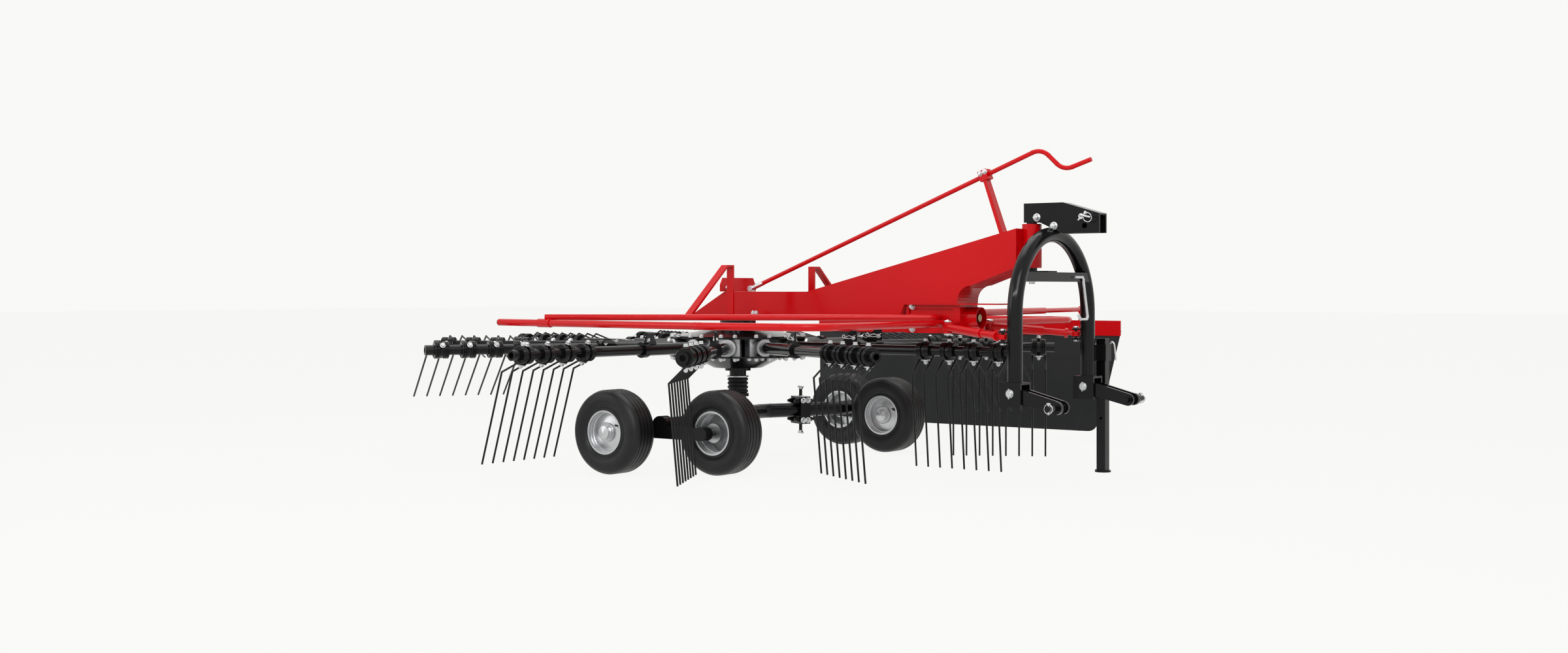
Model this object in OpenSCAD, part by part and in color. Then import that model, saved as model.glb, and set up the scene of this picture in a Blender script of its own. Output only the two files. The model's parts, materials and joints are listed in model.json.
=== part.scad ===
// Mounted single rotor hay rake, parked on its wheels and its headstock leg.
// X runs forward, Y to the machine's left, Z up. Inside the modules the rotor axis
// stands at X = Y = 0, and placed() moves everything to the middle of the footprint.

/* [Wheels] */
// Tyre diameter
tyre_d = 406; // [380:1:440]
// Tyre width
tyre_w = 165; // [150:1:170]
// Rim seat diameter
rim_d = 203; // [190:1:210]
// Stub axle diameter
stub_d = 35; // [30:1:40]
// Front wheels ahead of the rotor axis
wheel_front_x = 468; // [460:1:490]
// Front wheels from the middle of the machine
wheel_front_y = 742; // [730:1:745]
// Rear wheels ahead of the rotor axis
wheel_rear_x = 17; // [0:1:30]
// Rear wheels from the middle of the machine
wheel_rear_y = 1000; // [996:1:1004]

/* [Chassis] */
// Rocker beam width
rocker_w = 50; // [40:1:56]
// Rocker beam height
rocker_h = 62; // [55:1:70]
// Axle tube diameter
axle_d = 76; // [65:1:80]
// Column diameter
column_d = 88; // [80:1:95]
// Bellows diameter over its folds
bellows_d = 112; // [104:1:125]

/* [Rotor] */
// Height of the tine arms' axes
arm_z = 588; // [580:1:590]
// Number of tine arms
arm_count = 12; // [12]
// Angle of the first arm from straight ahead
arm_phase = 29.15; // [25:0.05:32]
// Radius at the end of the tine bars
arm_end_r = 1654; // [1640:1:1660]
// Inner arm tube diameter
arm_d = 60; // [54:1:64]
// Tine bar diameter
tine_bar_d = 50; // [46:1:54]
// Hub disc radius
hub_r = 360; // [350:1:368]
// Journal diameter that carries the hub
journal_d = 120; // [110:1:130]
// Twist of a lifted arm about its own axis
arm_lift = 78; // [70:1:80]

/* [Tines] */
// Double tines on each arm
tine_pairs = 4; // [3:1:4]
// Distance between double tines
tine_pitch = 135; // [130:1:137]
// Tine wire diameter
wire_d = 9.5; // [8:0.5:10]
// Coil diameter over the wire
coil_d = 86; // [80:1:90]
// Slanted stretch from coil to kink
tine_slant = 130; // [110:1:140]
// Straight stretch from kink to tip
tine_straight = 450; // [420:1:460]

/* [Boom] */
// Boom width
boom_w = 200; // [180:1:210]
// Swivel axis ahead of the rotor axis
swivel_x = 1740; // [1730:1:1750]
// Boom underside over the rotor
boom_floor_z = 735; // [730:1:740]
// Boom top over the rotor
boom_top_z = 876; // [865:1:885]
// Boom top at the swivel
boom_front_top_z = 1172; // [1160:1:1176]
// Boom underside at the swivel
boom_front_floor_z = 990; // [986:1:1000]
// Swivel pin diameter
swivel_d = 50; // [45:1:55]

/* [Headstock] */
// Headstock plane ahead of the rotor axis
head_x = 1848; // [1840:1:1856]
// Headstock leg from the middle of the machine
head_y = 366; // [360:1:370]
// Headstock tube diameter
head_d = 70; // [64:1:74]
// Height where the legs start to bend
head_bend_z = 776; // [770:1:780]
// Height of the tongue pivots
tongue_z = 420; // [415:1:425]
// Tongue pivot to lower link pin
tongue_l = 232; // [225:1:240]
// Droop of the parked tongues below level
tongue_droop = 14; // [10:1:16]
// Lower link pin diameter
link_pin_d = 28; // [22:1:30]
// Lower link shoulder from the middle of the machine
link_shoulder_y = 412.5; // [410:0.5:420]
// Top link hole diameter
top_link_d = 25.9; // [25.5:0.1:26.5]
// Parking leg width
leg_w = 46; // [42:1:48]
// Parking leg ahead of the rotor axis
leg_x = 1886; // [1880:1:1892]

/* [Drive] */
// Input shaft diameter
input_d = 34.9; // [34:0.1:36]
// Input shaft height
input_z = 750; // [748:1:752]
// Shroud tube outer diameter
shroud_d = 104; // [98:1:108]

/* [Guards] */
// Guard tube diameter
guard_d = 34; // [30:1:36]
// Guard height
guard_z = 724; // [722:1:730]
// Guard corner from the middle of the machine
guard_corner_y = 1250; // [1200:1:1300]
// Guard front bar ahead of the rotor axis
guard_front_x = 1372; // [1366:1:1378]
// Guard bend radius
guard_bend_r = 170; // [150:1:190]

/* [Curtain] */
// Curtain plane from the middle of the machine
curtain_y = 1900; // [1880:1:1920]
// Curtain front edge at its top
curtain_front_x = 1310; // [1290:1:1330]
// Curtain rear edge
curtain_rear_x = -790; // [-820:1:-770]
// Curtain lower edge
curtain_low_z = 65; // [50:1:80]
// Curtain upper edge
curtain_top_z = 650; // [640:1:655]
// Curtain thickness
curtain_t = 8; // [6:1:10]
// Curtain carrier tube diameter
carrier_d = 34; // [30:1:36]
// Curtain carrier height
carrier_z = 772; // [770:1:774]

/* [Crank] */
// Crank rod diameter
crank_d = 22; // [18:1:24]

/* [Hidden] */
$fn = 48;

// Paint and metal
red = [0.82, 0.03, 0.04];
black = [0.06, 0.06, 0.065];
steel = [0.72, 0.73, 0.74];
dark_rubber = [0.05, 0.05, 0.05];
olive = [0.42, 0.37, 0.2];

// Shared clearances and overruns
fit_gap = 0.05;
seat_gap = 0.2;
run_gap = 0.3;
over = 1;
seam = 0.6;
seam_l = 4;
right = -1;
left = 1;

// Wheel details
wheel_z = tyre_d / 2;
rim_w = 140;
rim_flange = 14;
rim_wall = 4;
rim_disc_t = 8;
rim_disc_share = 0.18;
rim_hub_d = 92;
rim_hub_l = 118;
cap_d = 62;
cap_l = 26;
cap_bevel = 8;
dish_rise = 12;
tyre_side_in = 48;
tyre_side_h = 45;
tyre_side_w = 30;
side_arc_low = -57;
side_arc_high = 73;
side_arc_step = 10;
lip_drop = 10;
tyre_shoulder_share = 0.36;
tread_rib = 5;
tread_groove_share = 0.5;
tread_ribs = 5;
stub_head = 6;

// Chassis details
rocker_y = (wheel_front_y + wheel_rear_y) / 2;
pivot_back = 28;
rocker_x = (wheel_front_x + wheel_rear_x) / 2 - pivot_back;
rocker_eye_d = 96;
axle_z = 232;
axle_mid_half = 230;
axle_knee_y = 653;
axle_bend_r = 160;
column_foot_t = 12;
column_boss_d = 128;
column_foot_z = axle_z - axle_d / 2 - column_foot_t;
column_ring_d = 116;
column_ring_h = 16;
bellows_low_z = 340;
bellows_high_z = 424;
bellows_folds = 4;
bellows_neck_share = 0.86;
clamp_y = 430;
clamp_l = 58;
clamp_h = 148;
clamp_w = 118;
clamp_bolt_d = 16;
clamp_screw_d = 18;
clamp_screw_l = 250;

// Rotor details
disc_t = 8;
housing_h = 88;
hub_top_z = arm_z + housing_h / 2 + disc_t + seat_gap;
hub_low_z = arm_z - housing_h / 2 - disc_t - seat_gap;
hub_core_d = 250;
dish_r = 250;
dish_low_r = 130;
dish_h = 60;
housing_in_r = 232;
housing_w = 108;
boss_d = 86;
boss_start_r = 300;
boss_end_r = 372;
cover_r = 338;
cover_top_r = 118;
cover_h = 44;
cover_t = 4;
neck_d = 190;
arm_start_r = boss_end_r + seat_gap;
arm_joint_r = 770;
collar_d = 78;
collar_l = 34;
ear_t = 9;
ear_l = 92;
ear_h = 92;
ear_top_share = 0.4;
end_bore_d = 30;
end_bore_l = 70;
coil_turns = 3;
coil_lead_share = 0.92;
leg_root_share = 0.72;
kink_share = 1.06;
coil_gap = 18;
coil_arc = 66;
coil_lead = wire_d * coil_lead_share;
spool_bite = 1;
spool_d = coil_d - 2 * wire_d + 2 * spool_bite;
last_pair_in = 80;
last_pair_r = arm_end_r - last_pair_in;
slant_angle = 45;
straight_lean = 5;
clip_bolt_d = 14;
clip_bolt_l = 18;
arm_lift_shares = [0, 0.62, 1, 1, 1, 1, 1, 0.77, 0.28, 0, 0, 0];

// Boom details
wedge_tip_x = -226;
wedge_tip_z = 756;
wedge_top_x = -12;
slope_start_x = 517;
belly_z = 906;
throat_r = 75;
deck_x = 1394;
deck_z = 820;
deck_rear_x = 1100;
keel_rear_x = -200;
keel_front_x = 1060;
pivot_tube_d = 92;
pivot_low_z = 988;
pivot_high_z = 1194;
nose_back = 30;
boom_nose_x = swivel_x - nose_back;

// Drive bracket details
bracket_w = 170;
bracket_front_x = 1400;
bracket_low_z = 676;
bracket_wall = 12;
pocket_y = bracket_w / 2 - bracket_wall + seat_gap;
visor_t = 6;
visor_w = 230;
visor_front_x = 1618;
shroud_wall = 3;
shroud_front_x = 1470;
input_front_x = 1462;
input_rear_x = 1330;
input_root_d = 42;
strut_rear_x = 1400;
strut_rear_y = 200;
strut_rear_z = 706;
strut_front_x = 1787;
strut_front_y = head_y;
strut_front_z = 672;
strut_pin_d = 20;
strut_eye_d = 46;
strut_eye_h = 30;
strut_lug_t = 10;
strut_lug_w = 56;
strut_d = 42;
strut_rod_d = 32;
strut_barrel_l = 265;
strut_nut_d = 46;
strut_nut_l = 14;
strut_rod_in = 130;
rod_eye_d = 40;
rod_eye_h = 22;
rod_eye_bore = 26;
rod_neck_share = 0.4;
clevis_pin_d = 14;
clevis_t = 8;
clevis_gap = 38;

// Headstock details
bar_z = 945;
bar_h = 44;
bar_w = 64;
swivel_lug_t = 18;
swivel_lug_w = 90;
swivel_lug_z = 956;
foot_w = 96;
foot_l = 108;
foot_h = 110;
foot_wall = 10;
foot_top_z = 470;
foot_bolt_d = 24;
foot_bolt_l = 120;
top_rear_x = 1718;
top_flat_x = 1920;
top_nose_x = 2104;
top_z = 1290;
top_nose_z = 1236;
top_low_z = 1146;
top_step_x = 1800;
top_step_z = 1200;
top_gap = 58;
top_wall = 10;
top_hole_x = 2030;
top_hole_z = 1180;
top_pin_d = 25;
top_pin_x = 2030;
top_pin_z = 1222;
top_pin_l = 150;
top_pin_head_d = 38;
top_pin_head_l = 8;
hook_d = 13;
hook_bend_r = 26;
hook_start_y = 145;
hook_shoulder_y = 236;
hook_low_z = 745;
hook_x = head_x + bar_w / 2 + hook_d * kink_share / 2 + seat_gap;
leg_out = 89;
leg_y = head_y + leg_out;
leg_wall = 5;
leg_top_z = 648;
leg_foot_d = 78;
leg_foot_t = 10;
leg_hole_d = 14;
leg_hole_z = 262;
sleeve_w = 60;
sleeve_low_z = 540;
sleeve_h = 82;
tongue_w = 60;
tongue_gap = 3;
tongue_plate_t = 12;
tongue_eye_d = 64;
tongue_tip_d = 58;
link_pin_out = 78;
link_pin_in = 34;

// Guard and curtain details
guard_rear_x = -640;
guard_rear_y = 1115;
guard_knee_x = 746;
guard_knee_y = 1270;
guard_sleeve_x = -338;
guard_sleeve_d = 42;
guard_sleeve_l = 90;
brace_d = 30;
brace_z = 752;
brace_root_x = 1285;
guard_root_x = 1335;
brace_bend_r = 40;
carrier_root_x = 1330;
carrier_root_y = 112;
carrier_end_x = 1080;
carrier_split_share = 0.62;
carrier_wall = 4;
carrier_inner_share = 0.22;
curtain_bar_h = 58;
curtain_bar_t = 6;
curtain_corner_r = 60;
curtain_slant = 150;
curtain_plate_w = 70;

// Rack, plate and crank details
rack_x = 227;
rack_w = 40;
rack_t = 10;
rack_in_y = 357;
rack_top_y = 400;
rack_out_y = 690;
rack_low_z = 752;
rack_top_z = 1010;
plate_w = 300;
plate_h = 72;
plate_t = 8;
plate_top_share = 0.86;
plate_x = -4;
crank_low_x = 168;
crank_block_x = 1490;
crank_top_x = 1790;
crank_top_z = 1548;
crank_dip_x = 1905;
crank_dip_drop = 108;
crank_end_x = 2045;
crank_end_drop = 62;
crank_bend_r = 80;
joint_d = 30;
joint_l = 40;
joint_rod_share = 0.8;
joint_foot_x = 92;
joint_clear = 0.6;
block_l = 46;
block_w = 52;
block_h = 50;
rack_bar_t = 8;
rack_bar_w = 46;
crank_foot_x = 1590;

// Footprint of the parked machine
tongue_reach = tongue_l * cos(tongue_droop) + tongue_tip_d / 2;
front_x = max(head_x + tongue_reach, top_nose_x);
leg_root_r = leg_root_share * coil_d / 2;
kink = [
  sin(slant_angle) * tine_slant - cos(slant_angle) * leg_root_r,
  -cos(slant_angle) * tine_slant - sin(slant_angle) * leg_root_r
];
tip = [kink.x - sin(straight_lean) * tine_straight, kink.y - cos(straight_lean) * tine_straight];
function arm_angle(i) = arm_phase + i * 360 / arm_count;
function arm_twist(i) = arm_lift * arm_lift_shares[i];
function trail(i, p) = p.x * cos(arm_twist(i)) - p.y * sin(arm_twist(i));
last_tine_r = last_pair_r + tine_pitch / 4;
function tip_x(i) = last_tine_r * cos(arm_angle(i)) + trail(i, tip) * sin(arm_angle(i));
rear_x = min([for (i = [0 : arm_count - 1]) tip_x(i)]) - wire_d / 2;
right_y = min([for (i = [0 : arm_count - 1]) arm_end_r * sin(arm_angle(i))]);
left_y = curtain_y + curtain_t / 2;
mid_x = (front_x + rear_x) / 2;
mid_y = (left_y + right_y) / 2;

module placed() {
  translate([-mid_x, -mid_y, 0]) children();
}

// Round bar from point a to point b
module bar(a, b, d) {
  v = b - a;
  translate(a)
    rotate([0, acos(v.z / norm(v)), atan2(v.y, v.x)])
      cylinder(h = norm(v), d = d);
}

// Plate with an outline in X and Z, centred on Y
module side_plate(outline, t) {
  rotate([90, 0, 0])
    translate([0, 0, -t / 2])
      linear_extrude(t) polygon(outline);
}

// Box given by its low corner and its size along X, its half width on Y and its heights
module slab(x0, x1, w, z0, z1) {
  translate([x0, -w / 2, z0]) cube([x1 - x0, w, z1 - z0]);
}

// Signed turn at corner i of a flat route, within half a circle
function heading(p, q) = atan2(q.y - p.y, q.x - p.x);
function wrap(a) = a > 180 ? a - 360 : a < -180 ? a + 360 : a;
function turn(route, i) = wrap(heading(route[i], route[i + 1]) - heading(route[i - 1], route[i]));
function unit(p, q) = (q - p) / norm(q - p);
function bend_cut(route, i, r) = r * tan(abs(turn(route, i)) / 2);
function bend_in(route, i, r) = route[i] - unit(route[i - 1], route[i]) * bend_cut(route, i, r);
function bend_out(route, i, r) = route[i] + unit(route[i], route[i + 1]) * bend_cut(route, i, r);

// Slight ring where a bend begins or ends
module tube_seam(p, u, d) {
  bar([p.x - u.x * seam_l, p.y - u.y * seam_l, 0], [p.x + u.x * seam_l, p.y + u.y * seam_l, 0], d + 2 * seam);
}

// Round tube along a flat route in the XY plane, bent at its corners with radius r
module pipe(route, d, r) {
  n = len(route);
  for (i = [0 : n - 2]) {
    a = i == 0 ? route[0] : bend_out(route, i, r);
    b = i == n - 2 ? route[n - 1] : bend_in(route, i + 1, r);
    bar([a.x, a.y, 0], [b.x, b.y, 0], d);
  }
  for (i = [1 : n - 2]) {
    s = sign(turn(route, i));
    h = heading(route[i - 1], route[i]);
    c = bend_in(route, i, r) + r * s * [-sin(h), cos(h)];
    translate([c.x, c.y, 0])
      rotate([0, 0, s > 0 ? h - 90 : h + 90 + turn(route, i)])
        rotate_extrude(angle = abs(turn(route, i))) translate([r, 0]) circle(d = d);
    tube_seam(bend_in(route, i, r), unit(route[i - 1], route[i]), d);
    tube_seam(bend_out(route, i, r), unit(route[i], route[i + 1]), d);
  }
}

// Boom: box beam with its swivel tube, hollowed under the front
module boom() {
  arc_steps = 8;
  throat = [
    for (k = [0 : arc_steps])
      let (a = 90 - 90 * k / arc_steps)
        [deck_x + throat_r - throat_r * sin(90 - a), belly_z - throat_r + throat_r * cos(90 - a)]
  ];
  outline = concat(
    [
      [keel_rear_x, boom_floor_z], [wedge_tip_x, wedge_tip_z], [wedge_top_x, boom_top_z],
      [slope_start_x, boom_top_z], [boom_nose_x, boom_front_top_z], [boom_nose_x, boom_front_floor_z]
    ],
    throat,
    [[deck_x, deck_z], [deck_rear_x, deck_z], [keel_front_x, boom_floor_z]]
  );
  color(red)
    difference() {
      union() {
        side_plate(outline, boom_w);
        translate([swivel_x, 0, pivot_low_z]) cylinder(h = pivot_high_z - pivot_low_z, d = pivot_tube_d);
      }
      translate([swivel_x, 0, pivot_low_z - over])
        cylinder(h = pivot_high_z - pivot_low_z + 2 * over, d = swivel_d + 2 * fit_gap);
    }
}

// Strut pivots: vertical pins between two lugs on each side
module strut_lugs(side) {
  gap = strut_eye_h / 2 + run_gap;
  half = strut_lug_w / 2;
  root_y = bracket_w / 2 - bracket_wall;
  for (z = [strut_rear_z + gap, strut_rear_z - gap - strut_lug_t])
    translate([0, 0, z])
      linear_extrude(strut_lug_t)
        polygon([
          [strut_rear_x - half, side * root_y], [strut_rear_x - half, side * strut_rear_y],
          [strut_rear_x, side * (strut_rear_y + half)], [strut_rear_x + half, side * strut_rear_y],
          [bracket_front_x, side * bracket_w / 2], [bracket_front_x, side * root_y]
        ]);
  translate([strut_rear_x, side * strut_rear_y, strut_rear_z - gap - strut_lug_t])
    cylinder(h = 2 * gap + 2 * strut_lug_t, d = strut_pin_d);
}

// Drive bracket: box under the deck with a visor plate, shaft bore and strut lugs
module drive_bracket() {
  color(red)
    difference() {
      union() {
        slab(deck_rear_x, bracket_front_x, bracket_w, bracket_low_z, deck_z - visor_t - seat_gap);
        slab(deck_rear_x, visor_front_x, visor_w, deck_z - visor_t - seat_gap, deck_z - seat_gap);
        strut_lugs(right);
        strut_lugs(left);
      }
      for (s = [right, left])
        translate([
          deck_rear_x + bracket_wall, s * bracket_w / 2 - bracket_wall, strut_rear_z + strut_lug_w / 2
        ])
          cube([bracket_front_x - deck_rear_x - 4 * bracket_wall, 2 * bracket_wall, 5 * bracket_wall]);
      translate([input_rear_x - over, 0, input_z])
        rotate([0, 90, 0])
          cylinder(h = bracket_front_x - input_rear_x + 2 * over, d = input_root_d + 2 * fit_gap);
    }
}

// Open tube around the input shaft
module drive_shroud() {
  color(red)
    translate([bracket_front_x + seat_gap, 0, input_z])
      rotate([0, 90, 0])
        difference() {
          cylinder(h = shroud_front_x - bracket_front_x, d = shroud_d);
          translate([0, 0, -over])
            cylinder(h = shroud_front_x - bracket_front_x + 2 * over, d = shroud_d - 2 * shroud_wall);
        }
}

// Input shaft: root in the bracket and a thinner stub
module input_shaft() {
  color(olive)
    translate([input_rear_x, 0, input_z])
      rotate([0, 90, 0]) {
        cylinder(h = input_front_x - input_rear_x, d = input_d);
        cylinder(h = bracket_front_x - input_rear_x, d = input_root_d);
      }
}

// Gearbox neck, hub journal and column down to the axle
module gearbox_column() {
  journal_low_z = hub_low_z - dish_h - run_gap;
  color(black)
    difference() {
      union() {
        translate([0, 0, hub_top_z + cover_h])
          cylinder(h = boom_floor_z - seat_gap - hub_top_z - cover_h, d = neck_d);
        translate([0, 0, journal_low_z]) cylinder(h = boom_floor_z - seat_gap - journal_low_z, d = journal_d);
        translate([0, 0, column_foot_z]) cylinder(h = journal_low_z - column_foot_z, d = column_d);
        translate([0, 0, column_foot_z]) cylinder(h = axle_d + 2 * column_foot_t, d = column_boss_d);
        translate([0, 0, journal_low_z - column_ring_h])
          cylinder(h = column_ring_h, d = journal_d + column_ring_h);
        translate([0, 0, bellows_low_z - column_ring_h - seat_gap])
          cylinder(h = column_ring_h, d = column_ring_d);
      }
      translate([0, -axle_mid_half, axle_z])
        rotate([-90, 0, 0]) cylinder(h = 2 * axle_mid_half, d = axle_d + 2 * seat_gap);
    }
}

// Rubber bellows round the column
module bellows() {
  h = bellows_high_z - bellows_low_z;
  fold = h / bellows_folds;
  in_r = bellows_d / 2 * bellows_neck_share;
  color(dark_rubber)
    translate([0, 0, bellows_low_z])
      rotate_extrude()
        polygon(concat(
          [[column_d / 2 + run_gap, 0]],
          [
            for (k = [0 : bellows_folds - 1])
              each [[in_r, k * fold], [bellows_d / 2, (k + 1 / 2) * fold]]
          ],
          [[in_r, h], [column_d / 2 + run_gap, h]]
        ));
}

// Transverse axle: bent tube from the column forward to the rocker pivots
module axle() {
  end_y = rocker_y - rocker_w / 2 - seat_gap;
  color(black)
    translate([0, 0, axle_z])
      pipe([
        [rocker_x, -end_y], [rocker_x, -axle_knee_y], [0, -axle_mid_half],
        [0, axle_mid_half], [rocker_x, axle_knee_y], [rocker_x, end_y]
      ], axle_d, axle_bend_r);
}

// Tilt clamp on the left half of the axle: two bolted jaws with adjusting screws
module tilt_clamp() {
  run = axle_knee_y - axle_mid_half;
  color(black)
    translate([rocker_x * (clamp_y - axle_mid_half) / run, clamp_y, axle_z])
      rotate([0, 0, -atan2(rocker_x, run)])
        difference() {
          union() {
            translate([-clamp_w / 2, -clamp_l / 2, -clamp_h / 2]) cube([clamp_w, clamp_l, clamp_h]);
            for (x = [-1, 1], z = [-1, 1])
              translate([x * clamp_w / 3, -clamp_l, z * clamp_h / 3])
                rotate([-90, 0, 0]) cylinder(h = 2 * clamp_l, d = clamp_bolt_d);
            translate([0, 0, -clamp_screw_l / 2]) cylinder(h = clamp_screw_l, d = clamp_screw_d);
          }
          translate([0, -clamp_w, 0])
            rotate([-90, 0, 0]) cylinder(h = 2 * clamp_w, d = axle_d + 2 * seat_gap);
        }
}

// Rocker beam with its pivot eye and two stub axles
module rocker(side) {
  color(black)
    translate([0, side * rocker_y, wheel_z]) {
      slab(wheel_rear_x, wheel_front_x, rocker_w, -rocker_h / 2, rocker_h / 2);
      for (x = [wheel_rear_x, wheel_front_x])
        translate([x, rocker_w / 2, 0]) rotate([90, 0, 0]) cylinder(h = rocker_w, d = rocker_h);
      translate([rocker_x, rocker_w / 2, axle_z - wheel_z]) rotate([90, 0, 0])
        cylinder(h = rocker_w, d = rocker_eye_d);
      stub(wheel_front_x, -side, rocker_y - wheel_front_y);
      stub(wheel_rear_x, side, wheel_rear_y - rocker_y);
    }
}

// Stub axle from the beam's middle to just short of the hub cap's inside
module stub(x, way, reach) {
  translate([x, 0, 0])
    rotate([-90 * way, 0, 0]) cylinder(h = reach + rim_hub_l / 2 - stub_head, d = stub_d);
}

module rocker_right() { rocker(right); }
module rocker_left() { rocker(left); }

// Ribbed tyre around the Y axis
module tyre() {
  seat_r = rim_d / 2 + run_gap;
  shoulder = tyre_w * tyre_shoulder_share;
  pitch = 2 * shoulder / tread_ribs;
  top_r = tyre_d / 2;
  side_arc = [
    for (a = [side_arc_low : side_arc_step : side_arc_high])
      [top_r - tyre_side_in + tyre_side_h * sin(a), tyre_w / 2 - tyre_side_w + tyre_side_w * cos(a)]
  ];
  color(dark_rubber)
    rotate([90, 0, 0])
      rotate_extrude()
        difference() {
          polygon(concat(
            [[seat_r, -rim_w / 2]],
            [for (p = side_arc) [p.x, -p.y]],
            [[top_r, -shoulder + pitch / 2], [top_r, shoulder - pitch / 2]],
            [for (k = [len(side_arc) - 1 : -1 : 0]) side_arc[k]],
            [[seat_r, rim_w / 2]]
          ));
          for (k = [1 : tread_ribs - 1])
            translate([top_r - tread_rib, -shoulder + k * pitch - tread_rib * tread_groove_share])
              square([2 * tread_rib, 2 * tread_rib * tread_groove_share]);
        }
}

// Steel rim with a dished disc, bearing hub and cap; its outer face looks along +Y
module rim() {
  disc_y = rim_w * rim_disc_share;
  seat_r = rim_d / 2;
  half = rim_w / 2 + run_gap;
  lip_r = seat_r + rim_flange - lip_drop;
  hub_half = rim_hub_l / 2;
  color(steel)
    rotate([-90, 0, 0])
      rotate_extrude()
        difference() {
          polygon([
            [0, hub_half + cap_l], [cap_d / 2, hub_half + cap_l - cap_bevel], [cap_d / 2, hub_half],
            [rim_hub_d / 2, hub_half], [rim_hub_d / 2, disc_y + rim_disc_t + dish_rise],
            [seat_r - rim_wall, disc_y + rim_disc_t], [seat_r - rim_wall, half + rim_wall],
            [lip_r, half + rim_wall],
            [lip_r, half], [seat_r, half], [seat_r, -half], [lip_r, -half], [lip_r, -half - rim_wall],
            [seat_r - rim_wall, -half - rim_wall], [seat_r - rim_wall, disc_y],
            [rim_hub_d / 2, disc_y + dish_rise],
            [rim_hub_d / 2, -hub_half], [0, -hub_half]
          ]);
          translate([-over, -hub_half - over]) square([stub_d / 2 + fit_gap + over, rim_hub_l + over]);
        }
}

// One wheel's tyre or rim at its place
module at_wheel(front, side) {
  translate([front ? wheel_front_x : wheel_rear_x, side * (front ? wheel_front_y : wheel_rear_y), wheel_z])
    rotate([0, 0, (front ? -side : side) > 0 ? 0 : 180])
      children();
}

module tyre_front_right() { at_wheel(true, right) tyre(); }
module tyre_front_left() { at_wheel(true, left) tyre(); }
module tyre_rear_right() { at_wheel(false, right) tyre(); }
module tyre_rear_left() { at_wheel(false, left) tyre(); }
module rim_front_right() { at_wheel(true, right) rim(); }
module rim_front_left() { at_wheel(true, left) rim(); }
module rim_rear_right() { at_wheel(false, right) rim(); }
module rim_rear_left() { at_wheel(false, left) rim(); }

// Hub: two discs on a bored core, with a dish below
module hub() {
  bore_r = journal_d / 2 + fit_gap;
  core_r = hub_core_d / 2;
  color(black)
    rotate_extrude()
      polygon([
        [bore_r, hub_top_z], [hub_r, hub_top_z], [hub_r, hub_top_z - disc_t], [core_r, hub_top_z - disc_t],
        [core_r, hub_low_z + disc_t], [hub_r, hub_low_z + disc_t], [hub_r, hub_low_z], [dish_r, hub_low_z],
        [dish_low_r, hub_low_z - dish_h], [bore_r, hub_low_z - dish_h]
      ]);
}

// Flat cone over the hub
module hub_cover() {
  low = hub_top_z + seat_gap;
  color(black)
    rotate_extrude()
      polygon([
        [cover_r, low], [cover_r, low + cover_t], [cover_top_r, low + cover_h - run_gap],
        [cover_top_r - cover_t, low + cover_h - run_gap], [cover_top_r - cover_t, low + cover_h - cover_t],
        [cover_r - 4 * cover_t, low]
      ]);
}

// Cast bearing housings between the discs, one for each arm
module bearing_housings() {
  color(steel)
    for (i = [0 : arm_count - 1])
      rotate([0, 0, arm_angle(i)])
        translate([0, 0, arm_z]) {
          translate([housing_in_r, -housing_w / 2, -housing_h / 2])
            cube([boss_start_r - housing_in_r, housing_w, housing_h]);
          translate([housing_in_r + over, 0, 0])
            rotate([0, 90, 0]) cylinder(h = boss_end_r - housing_in_r - over, d = boss_d);
        }
}

// Arm tube, collar and tine bar turned about the arm's axis, with an ear for the hairpin
module arm_tube() {
  joint = arm_joint_r - arm_start_r;
  end = arm_end_r - arm_start_r;
  difference() {
    union() {
      translate([arm_start_r, 0, 0])
        rotate([0, 90, 0])
          rotate_extrude()
            polygon([
              [0, 0], [arm_d / 2, 0], [arm_d / 2, joint - collar_l], [collar_d / 2, joint - collar_l],
              [collar_d / 2, joint], [tine_bar_d / 2, joint], [tine_bar_d / 2, end], [0, end]
            ]);
      translate([arm_joint_r - ear_l - collar_l / 4, 0, 0])
        side_plate([
          [0, 0], [ear_l, 0], [ear_l, ear_h], [ear_l * (1 - ear_top_share), ear_h], [0, arm_d / 2]
        ], ear_t);
    }
    translate([arm_end_r - end_bore_l, 0, 0])
      rotate([0, 90, 0]) cylinder(h = end_bore_l + over, d = end_bore_d);
  }
}

// Outer faces of one side's coil turns, from the inside of the pair outwards
function coil_turn(k) = [
  for (a = [-coil_arc : coil_arc / 2 : coil_arc])
    [
      (coil_d - wire_d + wire_d * cos(a)) / 2,
      coil_gap / 2 + (k + 1 / 2) * coil_lead + wire_d / 2 * sin(a)
    ]
];
coil_side = concat(
  [[spool_d / 2, coil_gap / 2]],
  [for (k = [0 : coil_turns - 1]) each coil_turn(k)],
  [[spool_d / 2, coil_gap / 2 + coil_turns * coil_lead]]
);

// Spring coils of one double tine: sleeve on the bar with the wire's turns
module coil_pair() {
  half = coil_gap / 2 + coil_turns * coil_lead;
  in_r = tine_bar_d / 2 + run_gap;
  n = len(coil_side);
  rotate([0, 90, 0])
    rotate_extrude()
      polygon(concat(
        [[in_r, half], [in_r, -half]],
        [for (i = [n - 1 : -1 : 0]) [coil_side[i].x, -coil_side[i].y]],
        coil_side
      ));
}

// Bent wire of one tine: slanted stretch, kink and straight stretch
module tine_leg() {
  start = -[0, cos(slant_angle), sin(slant_angle)] * leg_root_r;
  bar(start, [0, kink.x, kink.y], wire_d);
  translate([0, kink.x, kink.y]) sphere(d = wire_d * kink_share);
  bar([0, kink.x, kink.y], [0, tip.x, tip.y], wire_d);
}

// Double tine: coils, two legs and the heads of its clip bolt
module double_tine() {
  coil_pair();
  for (s = [-1, 1]) translate([s * tine_pitch / 4, 0, 0]) tine_leg();
  for (s = [0, 180])
    rotate([s, 0, 0])
      translate([0, 0, spool_d / 2 - clip_bolt_d / 4]) cylinder(h = clip_bolt_l, d = clip_bolt_d);
}

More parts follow.
